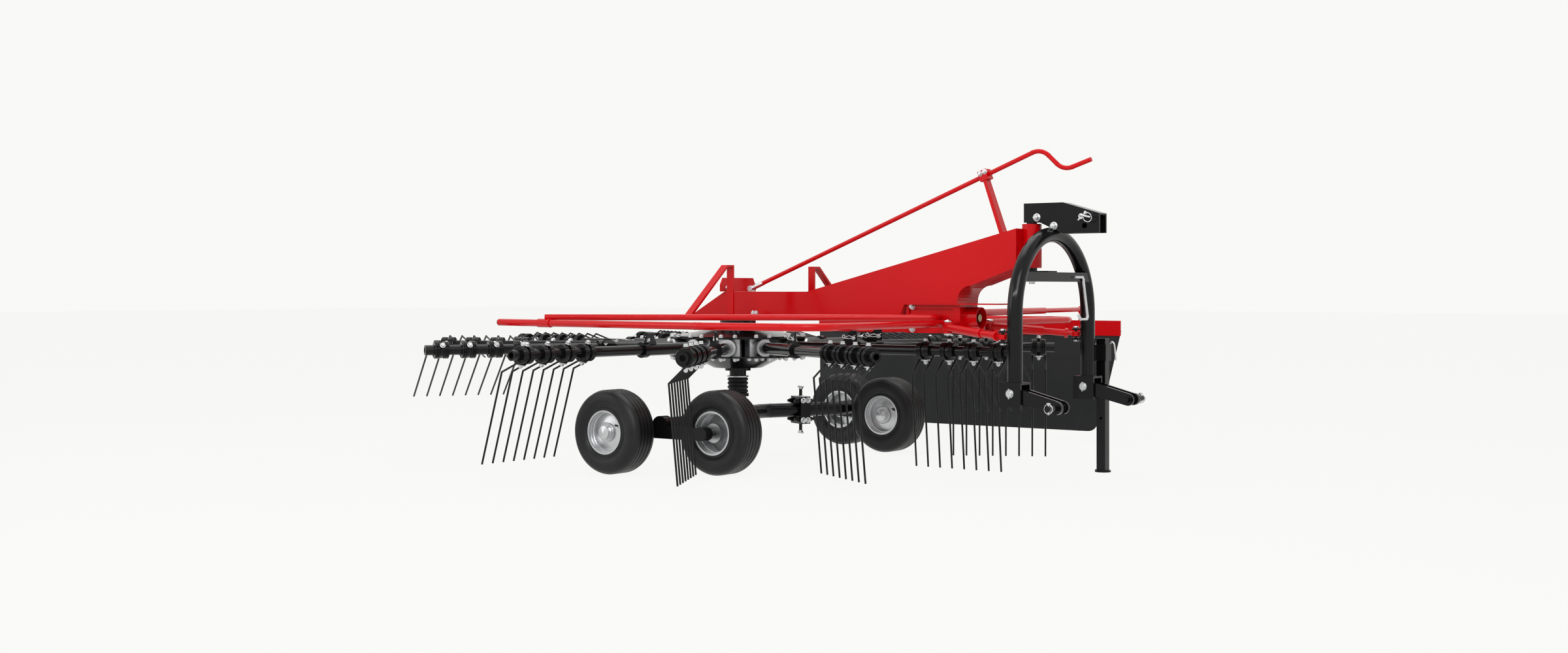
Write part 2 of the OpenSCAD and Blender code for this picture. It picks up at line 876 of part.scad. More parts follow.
// One arm along +X at its own twist; local +Y is the trailing side
module arm_body() {
  arm_tube();
  for (p = [0 : tine_pairs - 1]) translate([last_pair_r - p * tine_pitch, 0, 0]) double_tine();
}

// Arm i about the rotor axis: the trailing side lies clockwise, and lifting swings the tines that way
module tine_arm(i) {
  color(black)
    rotate([0, 0, arm_angle(i)])
      translate([0, 0, arm_z])
        mirror([0, 1, 0])
          rotate([arm_twist(i), 0, 0])
            arm_body();
}

module tine_arm_1() { tine_arm(0); }
module tine_arm_2() { tine_arm(1); }
module tine_arm_3() { tine_arm(2); }
module tine_arm_4() { tine_arm(3); }
module tine_arm_5() { tine_arm(4); }
module tine_arm_6() { tine_arm(5); }
module tine_arm_7() { tine_arm(6); }
module tine_arm_8() { tine_arm(7); }
module tine_arm_9() { tine_arm(8); }
module tine_arm_10() { tine_arm(9); }
module tine_arm_11() { tine_arm(10); }
module tine_arm_12() { tine_arm(11); }

// Inverted U of bent tube with a cross bar, swivel pin, feet and strut clevises
module headstock_frame() {
  leg_low_z = foot_top_z;
  bar_half = sqrt(pow(head_y, 2) - pow(bar_z - head_bend_z, 2));
  pin_low_z = swivel_lug_z;
  color(black) {
    translate([head_x, 0, head_bend_z])
      rotate([90, 0, 90])
        rotate_extrude(angle = 180) translate([head_y, 0]) circle(d = head_d);
    for (s = [right, left]) {
      translate([head_x, s * head_y, leg_low_z]) cylinder(h = head_bend_z - leg_low_z, d = head_d);
      foot_bracket(s);
      strut_clevis(s);
    }
    translate([head_x - bar_w / 2, -bar_half, bar_z - bar_h / 2]) cube([bar_w, 2 * bar_half, bar_h]);
    translate([swivel_x, -swivel_lug_w / 2, swivel_lug_z])
      cube([head_x - swivel_x, swivel_lug_w, swivel_lug_t]);
    translate([swivel_x, 0, swivel_lug_z]) cylinder(h = swivel_lug_t, d = swivel_lug_w);
    translate([swivel_x, 0, pin_low_z]) cylinder(h = top_step_z - seat_gap - pin_low_z, d = swivel_d);
  }
}

// Folded foot under a leg: top plate with two cheeks and the tongue's bolt
module foot_bracket(side) {
  half = foot_w / 2;
  translate([head_x, side * head_y, 0]) {
    slab(-foot_l / 2, foot_l / 2, foot_w, foot_top_z - foot_wall, foot_top_z);
    for (y = [-half, half - foot_wall])
      translate([-foot_l / 2, y, foot_top_z - foot_h]) cube([foot_l, foot_wall, foot_h]);
    translate([0, foot_bolt_l / 2, tongue_z]) rotate([90, 0, 0]) cylinder(h = foot_bolt_l, d = foot_bolt_d);
  }
}

// Two lugs behind a leg with the pin for the strut's rod eye
module strut_clevis(side) {
  translate([0, side * strut_front_y, strut_front_z]) {
    for (z = [clevis_gap / 2, -clevis_gap / 2 - clevis_t]) {
      slab(strut_front_x, head_x, rod_eye_d, z, z + clevis_t);
      translate([strut_front_x, 0, z]) cylinder(h = clevis_t, d = rod_eye_d);
    }
    translate([strut_front_x, 0, -clevis_gap / 2]) cylinder(h = clevis_gap, d = clevis_pin_d);
  }
}

// Folded top bracket: two cheeks under a sloped roof, with a floor over the swivel pin
module top_bracket() {
  w = top_gap + 2 * top_wall;
  outline = [
    [top_rear_x, top_step_z], [top_rear_x, top_z], [top_flat_x, top_z], [top_nose_x, top_nose_z],
    [top_nose_x, top_low_z], [top_flat_x, top_low_z], [top_step_x, top_step_z]
  ];
  inside = [
    [top_rear_x + top_wall, top_step_z + top_wall], [top_rear_x + top_wall, top_z - top_wall],
    [top_flat_x - top_wall, top_z - top_wall], [top_nose_x + top_wall, top_nose_z - top_wall],
    [top_nose_x + top_wall, top_low_z - top_wall], [top_flat_x + top_wall, top_low_z - top_wall],
    [top_flat_x, top_step_z + top_wall]
  ];
  color(black)
    difference() {
      side_plate(outline, w);
      side_plate(inside, top_gap);
      for (p = [[top_hole_x, top_hole_z, top_link_d], [top_pin_x, top_pin_z, top_pin_d + 2 * seat_gap]])
        translate([p.x, w, p.y]) rotate([90, 0, 0]) cylinder(h = 2 * w, d = p.z);
      translate([head_x, 0, head_bend_z])
        rotate([90, 0, 90])
          rotate_extrude(angle = 180) translate([head_y, 0]) circle(d = head_d + 2 * seat_gap);
    }
}

// Top link pin through both cheeks, with a head and a cross hole's linch pin
module top_link_pin() {
  color(steel)
    translate([top_pin_x, top_pin_l / 2, top_pin_z])
      rotate([90, 0, 0]) {
        cylinder(h = top_pin_l, d = top_pin_d);
        cylinder(h = top_pin_head_l, d = top_pin_head_d);
      }
}

// Bent rod that holds the drive shaft while parked
module drive_hook() {
  color(steel)
    translate([hook_x, 0, 0])
      rotate([90, 0, 90])
        pipe([
          [hook_start_y, bar_z], [hook_shoulder_y, bar_z], [hook_shoulder_y + 2 * hook_bend_r, hook_low_z],
          [hook_shoulder_y - hook_bend_r, hook_low_z],
          [hook_shoulder_y - 2 * hook_bend_r, hook_low_z + hook_bend_r]
        ], hook_d, hook_bend_r / 2);
}

// Square sleeve welded outboard of the left leg, open for the parking leg
module leg_sleeve() {
  hole = leg_w + 2 * run_gap;
  color(black)
    translate([0, 0, sleeve_low_z])
      difference() {
        union() {
          translate([leg_x - sleeve_w / 2, leg_y - sleeve_w / 2, 0]) cube([sleeve_w, sleeve_w, sleeve_h]);
          translate([head_x, head_y, 0]) cube([leg_x - head_x, leg_out, sleeve_h]);
        }
        translate([head_x, head_y, -over]) cylinder(h = sleeve_h + 2 * over, d = head_d + 2 * seat_gap);
        translate([leg_x - hole / 2, leg_y - hole / 2, -over]) cube([hole, hole, sleeve_h + 2 * over]);
      }
}

// Parking leg: square tube with a pin hole on a round foot
module parking_leg() {
  inner = leg_w - 2 * leg_wall;
  color(black)
    translate([leg_x, leg_y, 0])
      difference() {
        union() {
          cylinder(h = leg_foot_t, d = leg_foot_d);
          translate([-leg_w / 2, -leg_w / 2, 0]) cube([leg_w, leg_w, leg_top_z]);
        }
        translate([-inner / 2, -inner / 2, leg_foot_t]) cube([inner, inner, leg_top_z]);
        translate([0, leg_w, leg_hole_z]) rotate([90, 0, 0]) cylinder(h = 2 * leg_w, d = leg_hole_d);
      }
}

// Swinging tongue: two plates on the foot bolt with the lower link pin at their tips
module tongue(side) {
  eye_half = foot_w / 2 - foot_wall - tongue_gap;
  shoulder = link_shoulder_y - head_y;
  color(black)
    translate([head_x, side * head_y, tongue_z])
      rotate([0, tongue_droop, 0])
        difference() {
          union() {
            for (y = [-eye_half, eye_half - tongue_plate_t])
              translate([0, y + tongue_plate_t, 0])
                rotate([90, 0, 0])
                  linear_extrude(tongue_plate_t)
                    union() {
                      circle(d = tongue_eye_d);
                      polygon([
                        [0, tongue_eye_d / 2], [tongue_l, tongue_tip_d / 2],
                        [tongue_l, -tongue_tip_d / 2], [0, -tongue_eye_d / 2]
                      ]);
                      translate([tongue_l, 0]) circle(d = tongue_tip_d);
                    }
            translate([tongue_l / 2 - tongue_w / 2, -eye_half, -tongue_plate_t / 2])
              cube([tongue_w, 2 * eye_half, tongue_plate_t]);
            translate([tongue_l, side * (shoulder + link_pin_out), 0])
              rotate([side * 90, 0, 0])
                cylinder(h = shoulder + link_pin_out + eye_half + link_pin_in, d = link_pin_d);
            translate([tongue_l, side * shoulder, 0])
              rotate([side * 90, 0, 0]) cylinder(h = shoulder - eye_half, d = tongue_tip_d);
          }
          translate([0, foot_w, 0]) rotate([90, 0, 0])
            cylinder(h = 2 * foot_w, d = foot_bolt_d + 2 * fit_gap);
        }
}

module tongue_right() { tongue(right); }
module tongue_left() { tongue(left); }

// Line of a telescopic strut, with its direction
function strut_rear(side) = [strut_rear_x, side * strut_rear_y, strut_rear_z];
function strut_front(side) = [strut_front_x, side * strut_front_y, strut_front_z];
strut_l = norm(strut_front(left) - strut_rear(left));
function strut_dir(side) = (strut_front(side) - strut_rear(side)) / strut_l;

// Strut barrel: eye on the bracket's pin and a bored tube
module strut_barrel(side) {
  a = strut_rear(side);
  u = strut_dir(side);
  color(red)
    difference() {
      union() {
        translate(a - [0, 0, strut_eye_h / 2]) cylinder(h = strut_eye_h, d = strut_eye_d);
        bar(a + u * strut_eye_d / 4, a + u * strut_barrel_l, strut_d);
      }
      translate(a - [0, 0, strut_eye_h]) cylinder(h = 2 * strut_eye_h, d = strut_pin_d + 2 * fit_gap);
      bar(a + u * strut_eye_d * 3 / 4, a + u * (strut_barrel_l + over), strut_rod_d + 2 * run_gap);
      for (z = [strut_eye_h / 2, -strut_eye_h / 2 - strut_d])
        translate(a + [-strut_eye_d, -strut_eye_d, z]) cube([2 * strut_eye_d, 2 * strut_eye_d, strut_d]);
    }
}

// Strut rod: sliding tube with a lock nut and an eye for the clevis pin
module strut_rod(side) {
  b = strut_front(side);
  u = strut_dir(side);
  color(red)
    difference() {
      union() {
        bar(b - u * (strut_l - strut_rod_in), b - u * (rod_eye_d + seam_l), strut_rod_d);
        bar(b - u * (rod_eye_d + strut_nut_l), b - u * rod_eye_d, strut_nut_d);
        bar(b - u * (rod_eye_d + seam_l), b - u * rod_eye_d * rod_neck_share, rod_eye_h - 2 * seam);
        translate(b - [0, 0, rod_eye_h / 2]) cylinder(h = rod_eye_h, d = rod_eye_d);
      }
      translate(b - [0, 0, rod_eye_d]) cylinder(h = 2 * rod_eye_d, d = rod_eye_bore);
    }
}

module strut_barrel_right() { strut_barrel(right); }
module strut_barrel_left() { strut_barrel(left); }
module strut_rod_right() { strut_rod(right); }
module strut_rod_left() { strut_rod(left); }

// Guard: bent outer tube from the drive bracket to the rear, with a sleeve and an inner brace
module guard(side) {
  in_y = bracket_w / 2 + 4 * seat_gap;
  sleeve_share = (guard_sleeve_x - guard_rear_x) / (guard_knee_x - guard_rear_x);
  sleeve_y = guard_rear_y + (guard_knee_y - guard_rear_y) * sleeve_share;
  dir = unit([guard_rear_x, side * guard_rear_y], [guard_knee_x, side * guard_knee_y]);
  color(red) {
    translate([0, 0, guard_z])
      pipe([
        [guard_root_x, side * in_y], [guard_front_x, side * guard_corner_y],
        [guard_knee_x, side * guard_knee_y], [guard_rear_x, side * guard_rear_y]
      ], guard_d, guard_bend_r);
    bar(
      [guard_sleeve_x, side * sleeve_y, guard_z],
      [guard_sleeve_x + dir.x * guard_sleeve_l, side * sleeve_y + dir.y * guard_sleeve_l, guard_z],
      guard_sleeve_d
    );
    translate([0, 0, brace_z])
      pipe([
        [guard_sleeve_x + guard_sleeve_l / 2, side * sleeve_y + dir.y * guard_sleeve_l / 2],
        [brace_root_x, side * (boom_w / 2 + guard_d)], [brace_root_x, side * pocket_y]
      ], brace_d, brace_bend_r);
  }
}

module guard_right() { guard(right); }
module guard_left() { guard(left); }

// Curtain carrier: fixed outer tube and the line that the inner tube slides on
carrier_root = [carrier_root_x, carrier_root_y, carrier_z];
carrier_end = [carrier_end_x, curtain_y - curtain_t / 2 - curtain_bar_t, carrier_z];
carrier_v = carrier_end - carrier_root;

module carrier_sleeve() {
  color(red)
    difference() {
      union() {
        bar(carrier_root, carrier_root + carrier_v * carrier_split_share, carrier_d);
        bar([carrier_root_x, pocket_y, carrier_z], carrier_root, carrier_d);
        translate(carrier_root) sphere(d = carrier_d * kink_share);
      }
      bar(
        carrier_root + carrier_v * carrier_inner_share / 2,
        carrier_root + carrier_v * (carrier_split_share + carrier_inner_share),
        carrier_d - 2 * carrier_wall
      );
    }
}

// Curtain frame: inner carrier tube, drop plate and the bar along the curtain's top
module curtain_frame() {
  inner_d = carrier_d - 2 * carrier_wall - 2 * run_gap;
  face_y = curtain_y - curtain_t / 2 - seat_gap;
  color(red) {
    bar(carrier_root + carrier_v * (carrier_split_share - carrier_inner_share), carrier_end, inner_d);
    translate([
      carrier_end_x - curtain_plate_w / 2, face_y - curtain_bar_t, curtain_top_z - curtain_bar_h / 2
    ])
      cube([curtain_plate_w, curtain_bar_t, carrier_z + carrier_d / 2 - curtain_top_z + curtain_bar_h / 2]);
    translate([curtain_rear_x, face_y - curtain_bar_t, curtain_top_z - curtain_bar_h / 2])
      cube([curtain_front_x - curtain_rear_x, curtain_bar_t, 3 * curtain_bar_h / 2]);
  }
}

// Swath curtain: hanging sheet with rounded lower corners and a raked front edge
module curtain() {
  r = curtain_corner_r;
  low = curtain_low_z;
  color(black)
    translate([0, curtain_y, 0])
      side_plate([
        [curtain_rear_x, curtain_top_z], [curtain_front_x, curtain_top_z],
        [curtain_front_x - curtain_slant, low + r],
        for (a = [0 : 15 : 90]) [curtain_front_x - curtain_slant - r + r * cos(a), low + r - r * sin(a)],
        for (a = [90 : 15 : 180]) [curtain_rear_x + r + r * cos(a), low + r - r * sin(a)]
      ], curtain_t);
}

// Flat-bar hoop beside the boom for stored tine arms
module arm_rack(side) {
  root_y = boom_w / 2 + seat_gap;
  t = rack_t;
  outer = [
    [root_y, rack_low_z], [rack_out_y, rack_low_z], [rack_out_y + t, rack_low_z + t],
    [rack_top_y + t / 2, rack_top_z],
    [rack_in_y - t / 2, rack_top_z], [rack_in_y - t / 2, rack_low_z + t], [root_y, rack_low_z + t]
  ];
  hole = [
    [rack_in_y + t / 2, rack_low_z + t], [rack_in_y + t / 2, rack_top_z - t], [rack_top_y, rack_top_z - t],
    [rack_out_y - t, rack_low_z + t]
  ];
  color(red)
    translate([rack_x - rack_w / 2, 0, 0])
      rotate([90, 0, 90])
        linear_extrude(rack_w)
          difference() {
            polygon([for (p = outer) [side * p.x, p.y]]);
            polygon([for (p = hole) [side * p.x, p.y]]);
          }
}

module arm_rack_right() { arm_rack(right); }
module arm_rack_left() { arm_rack(left); }

// Bare upright plate across the rear of the boom
module rear_plate() {
  color(red)
    translate([plate_x, 0, boom_top_z + seat_gap])
      rotate([90, 0, 90])
        linear_extrude(plate_t)
          polygon([
            [-plate_w / 2, 0], [plate_w / 2, 0], [plate_w / 2, plate_h / 2],
            [plate_w / 2 * plate_top_share, plate_h],
            [-plate_w / 2 * plate_top_share, plate_h], [-plate_w / 2, plate_h / 2]
          ]);
}

// Line of the crank rod from its universal joint up to the handle
joint_pin_z = boom_top_z + joint_d / 2 + joint_clear;
crank_slope = heading([joint_foot_x, joint_pin_z], [crank_top_x, crank_top_z]);
function crank_z(x) = joint_pin_z + (x - joint_foot_x) * tan(crank_slope);

// Height crank: rod and bent handle in the boom's middle plane
module crank() {
  color(red)
    rotate([90, 0, 0])
      pipe([
        [crank_low_x, crank_z(crank_low_x)], [crank_top_x, crank_top_z],
        [crank_dip_x, crank_top_z - crank_dip_drop], [crank_end_x, crank_top_z - crank_end_drop]
      ], crank_d, crank_bend_r);
}

// Universal joint between the crank rod and the boom top
module crank_joint() {
  color(steel) {
    translate([joint_foot_x, 0, boom_top_z + seat_gap]) cylinder(h = joint_d, d = joint_d);
    bar(
      [joint_foot_x, 0, joint_pin_z],
      [crank_low_x - seat_gap, 0, crank_z(crank_low_x - seat_gap)],
      joint_d * joint_rod_share
    );
    translate([joint_foot_x, joint_l / 2, joint_pin_z])
      rotate([90, 0, 0]) cylinder(h = joint_l, d = joint_d);
  }
}

// Flat-bar bracket from the boom top to the crank's bearing block
module crank_bracket() {
  foot_share = (crank_foot_x - slope_start_x) / (boom_nose_x - slope_start_x);
  foot_z = boom_top_z + (boom_front_top_z - boom_top_z) * foot_share;
  block_z = crank_z(crank_block_x);
  color(red)
    difference() {
      union() {
        rotate([90, 0, 0])
          translate([0, 0, -rack_bar_w / 2])
            linear_extrude(rack_bar_w)
              polygon([
                [crank_foot_x - rack_bar_t, foot_z + seat_gap],
                [crank_foot_x + rack_bar_t, foot_z + 2 * rack_bar_t],
                [crank_block_x + rack_bar_t, block_z], [crank_block_x - rack_bar_t, block_z]
              ]);
        translate([crank_block_x, 0, block_z])
          rotate([0, -crank_slope, 0])
            translate([-block_l / 2, -block_w / 2, -block_h / 2]) cube([block_l, block_w, block_h]);
      }
      bar(
        [crank_low_x, 0, crank_z(crank_low_x)],
        [crank_top_x, 0, crank_top_z],
        crank_d + 2 * run_gap
      );
    }
}

placed() boom();
placed() drive_bracket();
placed() drive_shroud();
placed() input_shaft();
placed() gearbox_column();
placed() bellows();
placed() axle();
placed() tilt_clamp();
placed() rocker_right();
placed() rocker_left();
placed() arm_rack_right();
placed() arm_rack_left();
placed() rear_plate();
placed() crank();
placed() crank_joint();
placed() crank_bracket();
placed() guard_right();
placed() guard_left();
placed() carrier_sleeve();
placed() hub();
placed() hub_cover();
placed() bearing_housings();
placed() tine_arm_1();
placed() tine_arm_2();
placed() tine_arm_3();
placed() tine_arm_4();
placed() tine_arm_5();
placed() tine_arm_6();
placed() tine_arm_7();
placed() tine_arm_8();
placed() tine_arm_9();
placed() tine_arm_10();
placed() tine_arm_11();
placed() tine_arm_12();
placed() tyre_front_right();
placed() rim_front_right();
placed() tyre_front_left();
placed() rim_front_left();
placed() tyre_rear_right();
placed() rim_rear_right();
placed() tyre_rear_left();
placed() rim_rear_left();
placed() headstock_frame();
placed() top_bracket();
placed() top_link_pin();
placed() drive_hook();
placed() leg_sleeve();
placed() parking_leg();
placed() tongue_right();
placed() tongue_left();
placed() strut_barrel_right();
placed() strut_barrel_left();
placed() strut_rod_right();
placed() strut_rod_left();
placed() curtain_frame();
placed() curtain();
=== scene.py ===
"""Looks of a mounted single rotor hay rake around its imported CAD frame."""

import json
import math

import bmesh
import bpy
from mathutils import Matrix, Vector


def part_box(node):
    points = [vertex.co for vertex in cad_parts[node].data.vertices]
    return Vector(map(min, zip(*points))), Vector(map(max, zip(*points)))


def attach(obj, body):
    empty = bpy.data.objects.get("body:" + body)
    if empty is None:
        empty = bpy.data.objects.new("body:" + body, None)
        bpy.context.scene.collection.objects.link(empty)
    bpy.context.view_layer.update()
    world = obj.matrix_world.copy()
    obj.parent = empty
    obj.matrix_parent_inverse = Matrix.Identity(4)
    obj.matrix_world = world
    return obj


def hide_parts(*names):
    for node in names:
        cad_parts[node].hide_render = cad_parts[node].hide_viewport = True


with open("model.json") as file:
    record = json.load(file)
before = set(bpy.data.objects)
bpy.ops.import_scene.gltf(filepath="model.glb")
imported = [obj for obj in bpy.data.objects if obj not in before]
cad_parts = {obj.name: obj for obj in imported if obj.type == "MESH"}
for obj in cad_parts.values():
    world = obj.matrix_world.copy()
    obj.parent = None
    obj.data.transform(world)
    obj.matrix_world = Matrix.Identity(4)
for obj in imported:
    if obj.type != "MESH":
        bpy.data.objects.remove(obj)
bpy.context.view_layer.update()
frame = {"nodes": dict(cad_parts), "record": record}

X, Y, Z = Vector((1, 0, 0)), Vector((0, 1, 0)), Vector((0, 0, 1))
SIDES = {"right": -1, "left": 1}
WAYS = (1, -1)


def middle(node):
    """Middle of a CAD node's box at rest."""
    low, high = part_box(node)
    return (Vector(low) + Vector(high)) / 2


ROTOR = middle("hub")


def at(x, y, z):
    """Point given ahead of the rotor axis, to its left and above the ground."""
    return Vector((ROTOR.x + x, ROTOR.y + y, z))


# Materials

# Parts of the noise range over which gloss or colour changes
CLOUDS = (0.3, 0.7)
FAINT_PATCHES = (0.5, 0.8)
BROAD_PATCHES = (0.45, 0.75)
RUBBER_GLOSS = 0.3


class Shader:
    """A node material built around one Principled BSDF."""

    def __init__(self, name, color, roughness, metallic=0.0):
        self.material = bpy.data.materials.new(name)
        self.material.use_nodes = True
        self.tree = self.material.node_tree
        self.bsdf = self.tree.nodes["Principled BSDF"]
        self.bsdf.inputs["Base Color"].default_value = (*color, 1)
        self.bsdf.inputs["Roughness"].default_value = roughness
        self.bsdf.inputs["Metallic"].default_value = metallic
        self.color = color
        self.coords = self.tree.nodes.new("ShaderNodeTexCoord").outputs["Object"]
        self.normal = None

    def new(self, kind, **values):
        """Add a node and set its inputs by name."""
        node = self.tree.nodes.new("ShaderNode" + kind)
        for key, value in values.items():
            node.inputs[key].default_value = value
        return node

    def noise(self, scale, detail=4.0):
        """Noise value over the object's own coordinates."""
        node = self.new("TexNoise", Scale=scale, Detail=detail)
        self.tree.links.new(self.coords, node.inputs["Vector"])
        return node.outputs["Fac"]

    def remap(self, value, low, high, to_low, to_high):
        """Straight-line change of range, clamped."""
        node = self.new(
            "MapRange",
            **{"From Min": low, "From Max": high, "To Min": to_low, "To Max": to_high},
        )
        self.tree.links.new(value, node.inputs["Value"])
        return node.outputs["Result"]

    def tint(self, value, other):
        """Mix the base colour towards another colour by a value."""
        mix = self.tree.nodes.new("ShaderNodeMix")
        mix.data_type = "RGBA"
        base, target = [s for s in mix.inputs if s.type == "RGBA"]
        base.default_value = (*self.color, 1)
        target.default_value = (*other, 1)
        mixed = next(s for s in mix.outputs if s.type == "RGBA")
        self.tree.links.new(value, mix.inputs["Factor"])
        self.tree.links.new(mixed, self.bsdf.inputs["Base Color"])

    def rough(self, value):
        """Set roughness by a value."""
        self.tree.links.new(value, self.bsdf.inputs["Roughness"])

    def gloss(self, level):
        """Set the strength of the surface's reflection."""
        self.bsdf.inputs["Specular IOR Level"].default_value = level

    def bump(self, value, depth, strength):
        """Add a bump of the given depth in metres."""
        node = self.new("Bump", Strength=strength, Distance=depth)
        self.tree.links.new(value, node.inputs["Height"])
        if self.normal:
            self.tree.links.new(self.normal, node.inputs["Normal"])
        self.normal = node.outputs["Normal"]
        self.tree.links.new(self.normal, self.bsdf.inputs["Normal"])


def painted(name, color, dusty, rough_low, rough_high, gloss):
    """Enamel over steel: slight orange peel, uneven gloss and faint dust."""
    s = Shader(name, color, rough_low)
    s.rough(s.remap(s.noise(scale=9), *CLOUDS, rough_low, rough_high))
    s.tint(s.remap(s.noise(scale=3.5), *FAINT_PATCHES, 0, 0.35), dusty)
    s.bump(s.noise(scale=260, detail=2), depth=0.00012, strength=0.5)
    s.gloss(gloss)
    return s.material


def metal(name, color, stain, rough_low, rough_high, grain, depth=0.0002):
    """Bare or plated metal with clouded gloss and fine grain of a depth in metres."""
    s = Shader(name, color, rough_low, metallic=1.0)
    s.rough(s.remap(s.noise(scale=22), *CLOUDS, rough_low, rough_high))
    s.tint(s.remap(s.noise(scale=14), *BROAD_PATCHES, 0, 0.6), stain)
    s.bump(s.noise(grain, detail=3), depth, strength=0.5)
    return s.material


def rubber(name, color, worn, rough_low, rough_high, grain):
    """Rubber or plastic with worn patches and fine grain."""
    s = Shader(name, color, rough_low)
    s.gloss(RUBBER_GLOSS)
    s.rough(s.remap(s.noise(scale=16), *CLOUDS, rough_low, rough_high))
    s.tint(s.remap(s.noise(scale=11), *BROAD_PATCHES, 0, 0.7), worn)
    s.bump(s.noise(grain, detail=3), depth=0.0004, strength=0.6)
    return s.material


def woven(name, color, worn, threads):
    """Coated fabric: crossed threads under a thin coat, with faint scuffs."""
    s = Shader(name, color, 0.5)
    s.gloss(RUBBER_GLOSS)
    s.rough(s.remap(s.noise(scale=7), *CLOUDS, 0.38, 0.58))
    s.tint(s.remap(s.noise(scale=4), *FAINT_PATCHES, 0, 0.5), worn)
    for direction in ("X", "Z"):
        wave = s.new("TexWave", Scale=threads)
        wave.bands_direction = direction
        s.tree.links.new(s.coords, wave.inputs["Vector"])
        s.bump(wave.outputs["Fac"], depth=0.0003, strength=0.35)
    return s.material


RED = painted("red_enamel", (0.53, 0.0006, 0.003), (0.58, 0.002, 0.005), 0.14, 0.24, 0.22)
BLACK = painted("black_enamel", (0.004, 0.004, 0.0045), (0.008, 0.008, 0.009), 0.10, 0.20, 0.22)
ZINC = metal("zinc_plate", (0.62, 0.63, 0.64), (0.45, 0.46, 0.47), 0.26, 0.42, 180)
CAST = metal("cast_silver", (0.56, 0.57, 0.58), (0.36, 0.37, 0.38), 0.36, 0.52, 240)
RIM = metal("rim_silver", (0.55, 0.56, 0.57), (0.48, 0.49, 0.50), 0.30, 0.38, 300, 0.00004)
OILED = metal("oiled_steel", (0.36, 0.30, 0.17), (0.20, 0.16, 0.09), 0.30, 0.46, 160)
TYRE = rubber("tyre_rubber", (0.007, 0.007, 0.0075), (0.014, 0.014, 0.015), 0.34, 0.48, 220)
BELLOWS = rubber("bellows_rubber", (0.013, 0.013, 0.014), (0.022, 0.022, 0.023), 0.50, 0.70, 300)
GRIP = rubber("black_plastic", (0.015, 0.015, 0.016), (0.024, 0.024, 0.025), 0.50, 0.70, 400)
CLOTH = woven("curtain_cloth", (0.008, 0.009, 0.010), (0.014, 0.015, 0.016), 240)

SLOTS = {
    "red_paint": RED,
    "black_paint": BLACK,
    "zinc": ZINC,
    "cast_silver": CAST,
    "oiled_steel": OILED,
    "tyre": TYRE,
    "bellows_rubber": BELLOWS,
    "curtain_cloth": CLOTH,
    "rim_silver": RIM,
}
slot_of = {entry["node"]: entry["material_slot"] for entry in frame["record"]["subparts"]}
for name, obj in frame["nodes"].items():
    obj.data.materials.clear()
    obj.data.materials.append(SLOTS[slot_of[name]])


# Building blocks

# Bolt proportions, as shares of the width across the flats
WASHER_IN = 0.28
WASHER_OUT = 0.72
WASHER_T = 0.12
HEAD_H = 0.62
THREAD_R = 0.3
THREAD_TIP_R = 0.24
# Where the head's chamfer starts, as a share of its height, and how far it draws in
CHAMFER_FROM = 0.82
CHAMFER_IN = 0.84


def piece(name, bm, body, material, smooth=30):
    """Turn a bmesh into a piece that rides a CAD body."""
    bmesh.ops.recalc_face_normals(bm, faces=bm.faces)
    mesh = bpy.data.meshes.new(name)
    bm.to_mesh(mesh)
    bm.free()
    obj = bpy.data.objects.new(name, mesh)
    bpy.context.scene.collection.objects.link(obj)
    mesh.materials.append(material)
    mesh.shade_smooth()
    mesh.set_sharp_from_angle(angle=math.radians(smooth))
    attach(obj, body)
    return obj


def facing(axis):
    """Turn that takes +Z to an axis."""
    return Vector(axis).to_track_quat("Z", "Y").to_matrix().to_4x4()


def circle_angles(count):
    """Evenly spaced angles of a full circle."""
    return [2 * math.pi * k / count for k in range(count)]


def polar(radius, angle, height):
    """Point at a radius and angle about Z."""
    return Vector((radius * math.cos(angle), radius * math.sin(angle), height))


def lathe(bm, profile, centre, axis, segments):
    """Closed turned solid from (radius, height) along the axis, with radius 0 at both ends."""
    turn = Matrix.Translation(centre) @ facing(axis)
    rings = []
    for radius, height in profile:
        angles = circle_angles(segments) if radius else [0]
        rings.append([bm.verts.new(turn @ polar(radius, a, height)) for a in angles])
    for low, high in zip(rings, rings[1:]):
        for k in range(segments):
            n = (k + 1) % segments
            if len(low) == 1:
                bm.faces.new((low[0], high[n], high[k]))
            elif len(high) == 1:
                bm.faces.new((low[k], low[n], high[0]))
            else:
                bm.faces.new((low[k], low[n], high[n], high[k]))


def ring(bm, r_in, r_out, thickness, centre, axis, segments=32):
    """Closed washer or band with slightly rounded edges."""
    turn = Matrix.Translation(centre) @ facing(axis)
    edge = min(thickness, r_out - r_in) / 5
    outline = [
        (r_in, edge), (r_in + edge, 0),
        (r_out - edge, 0), (r_out, edge),
        (r_out, thickness - edge), (r_out - edge, thickness),
        (r_in + edge, thickness), (r_in, thickness - edge),
    ]
    loops = []
    for a in circle_angles(segments):
        loops.append([bm.verts.new(turn @ polar(r, a, h)) for r, h in outline])
    for k, loop in enumerate(loops):
        after = loops[(k + 1) % segments]
        for i in range(len(outline)):
            j = (i + 1) % len(outline)
            bm.faces.new((loop[i], loop[j], after[j], after[i]))


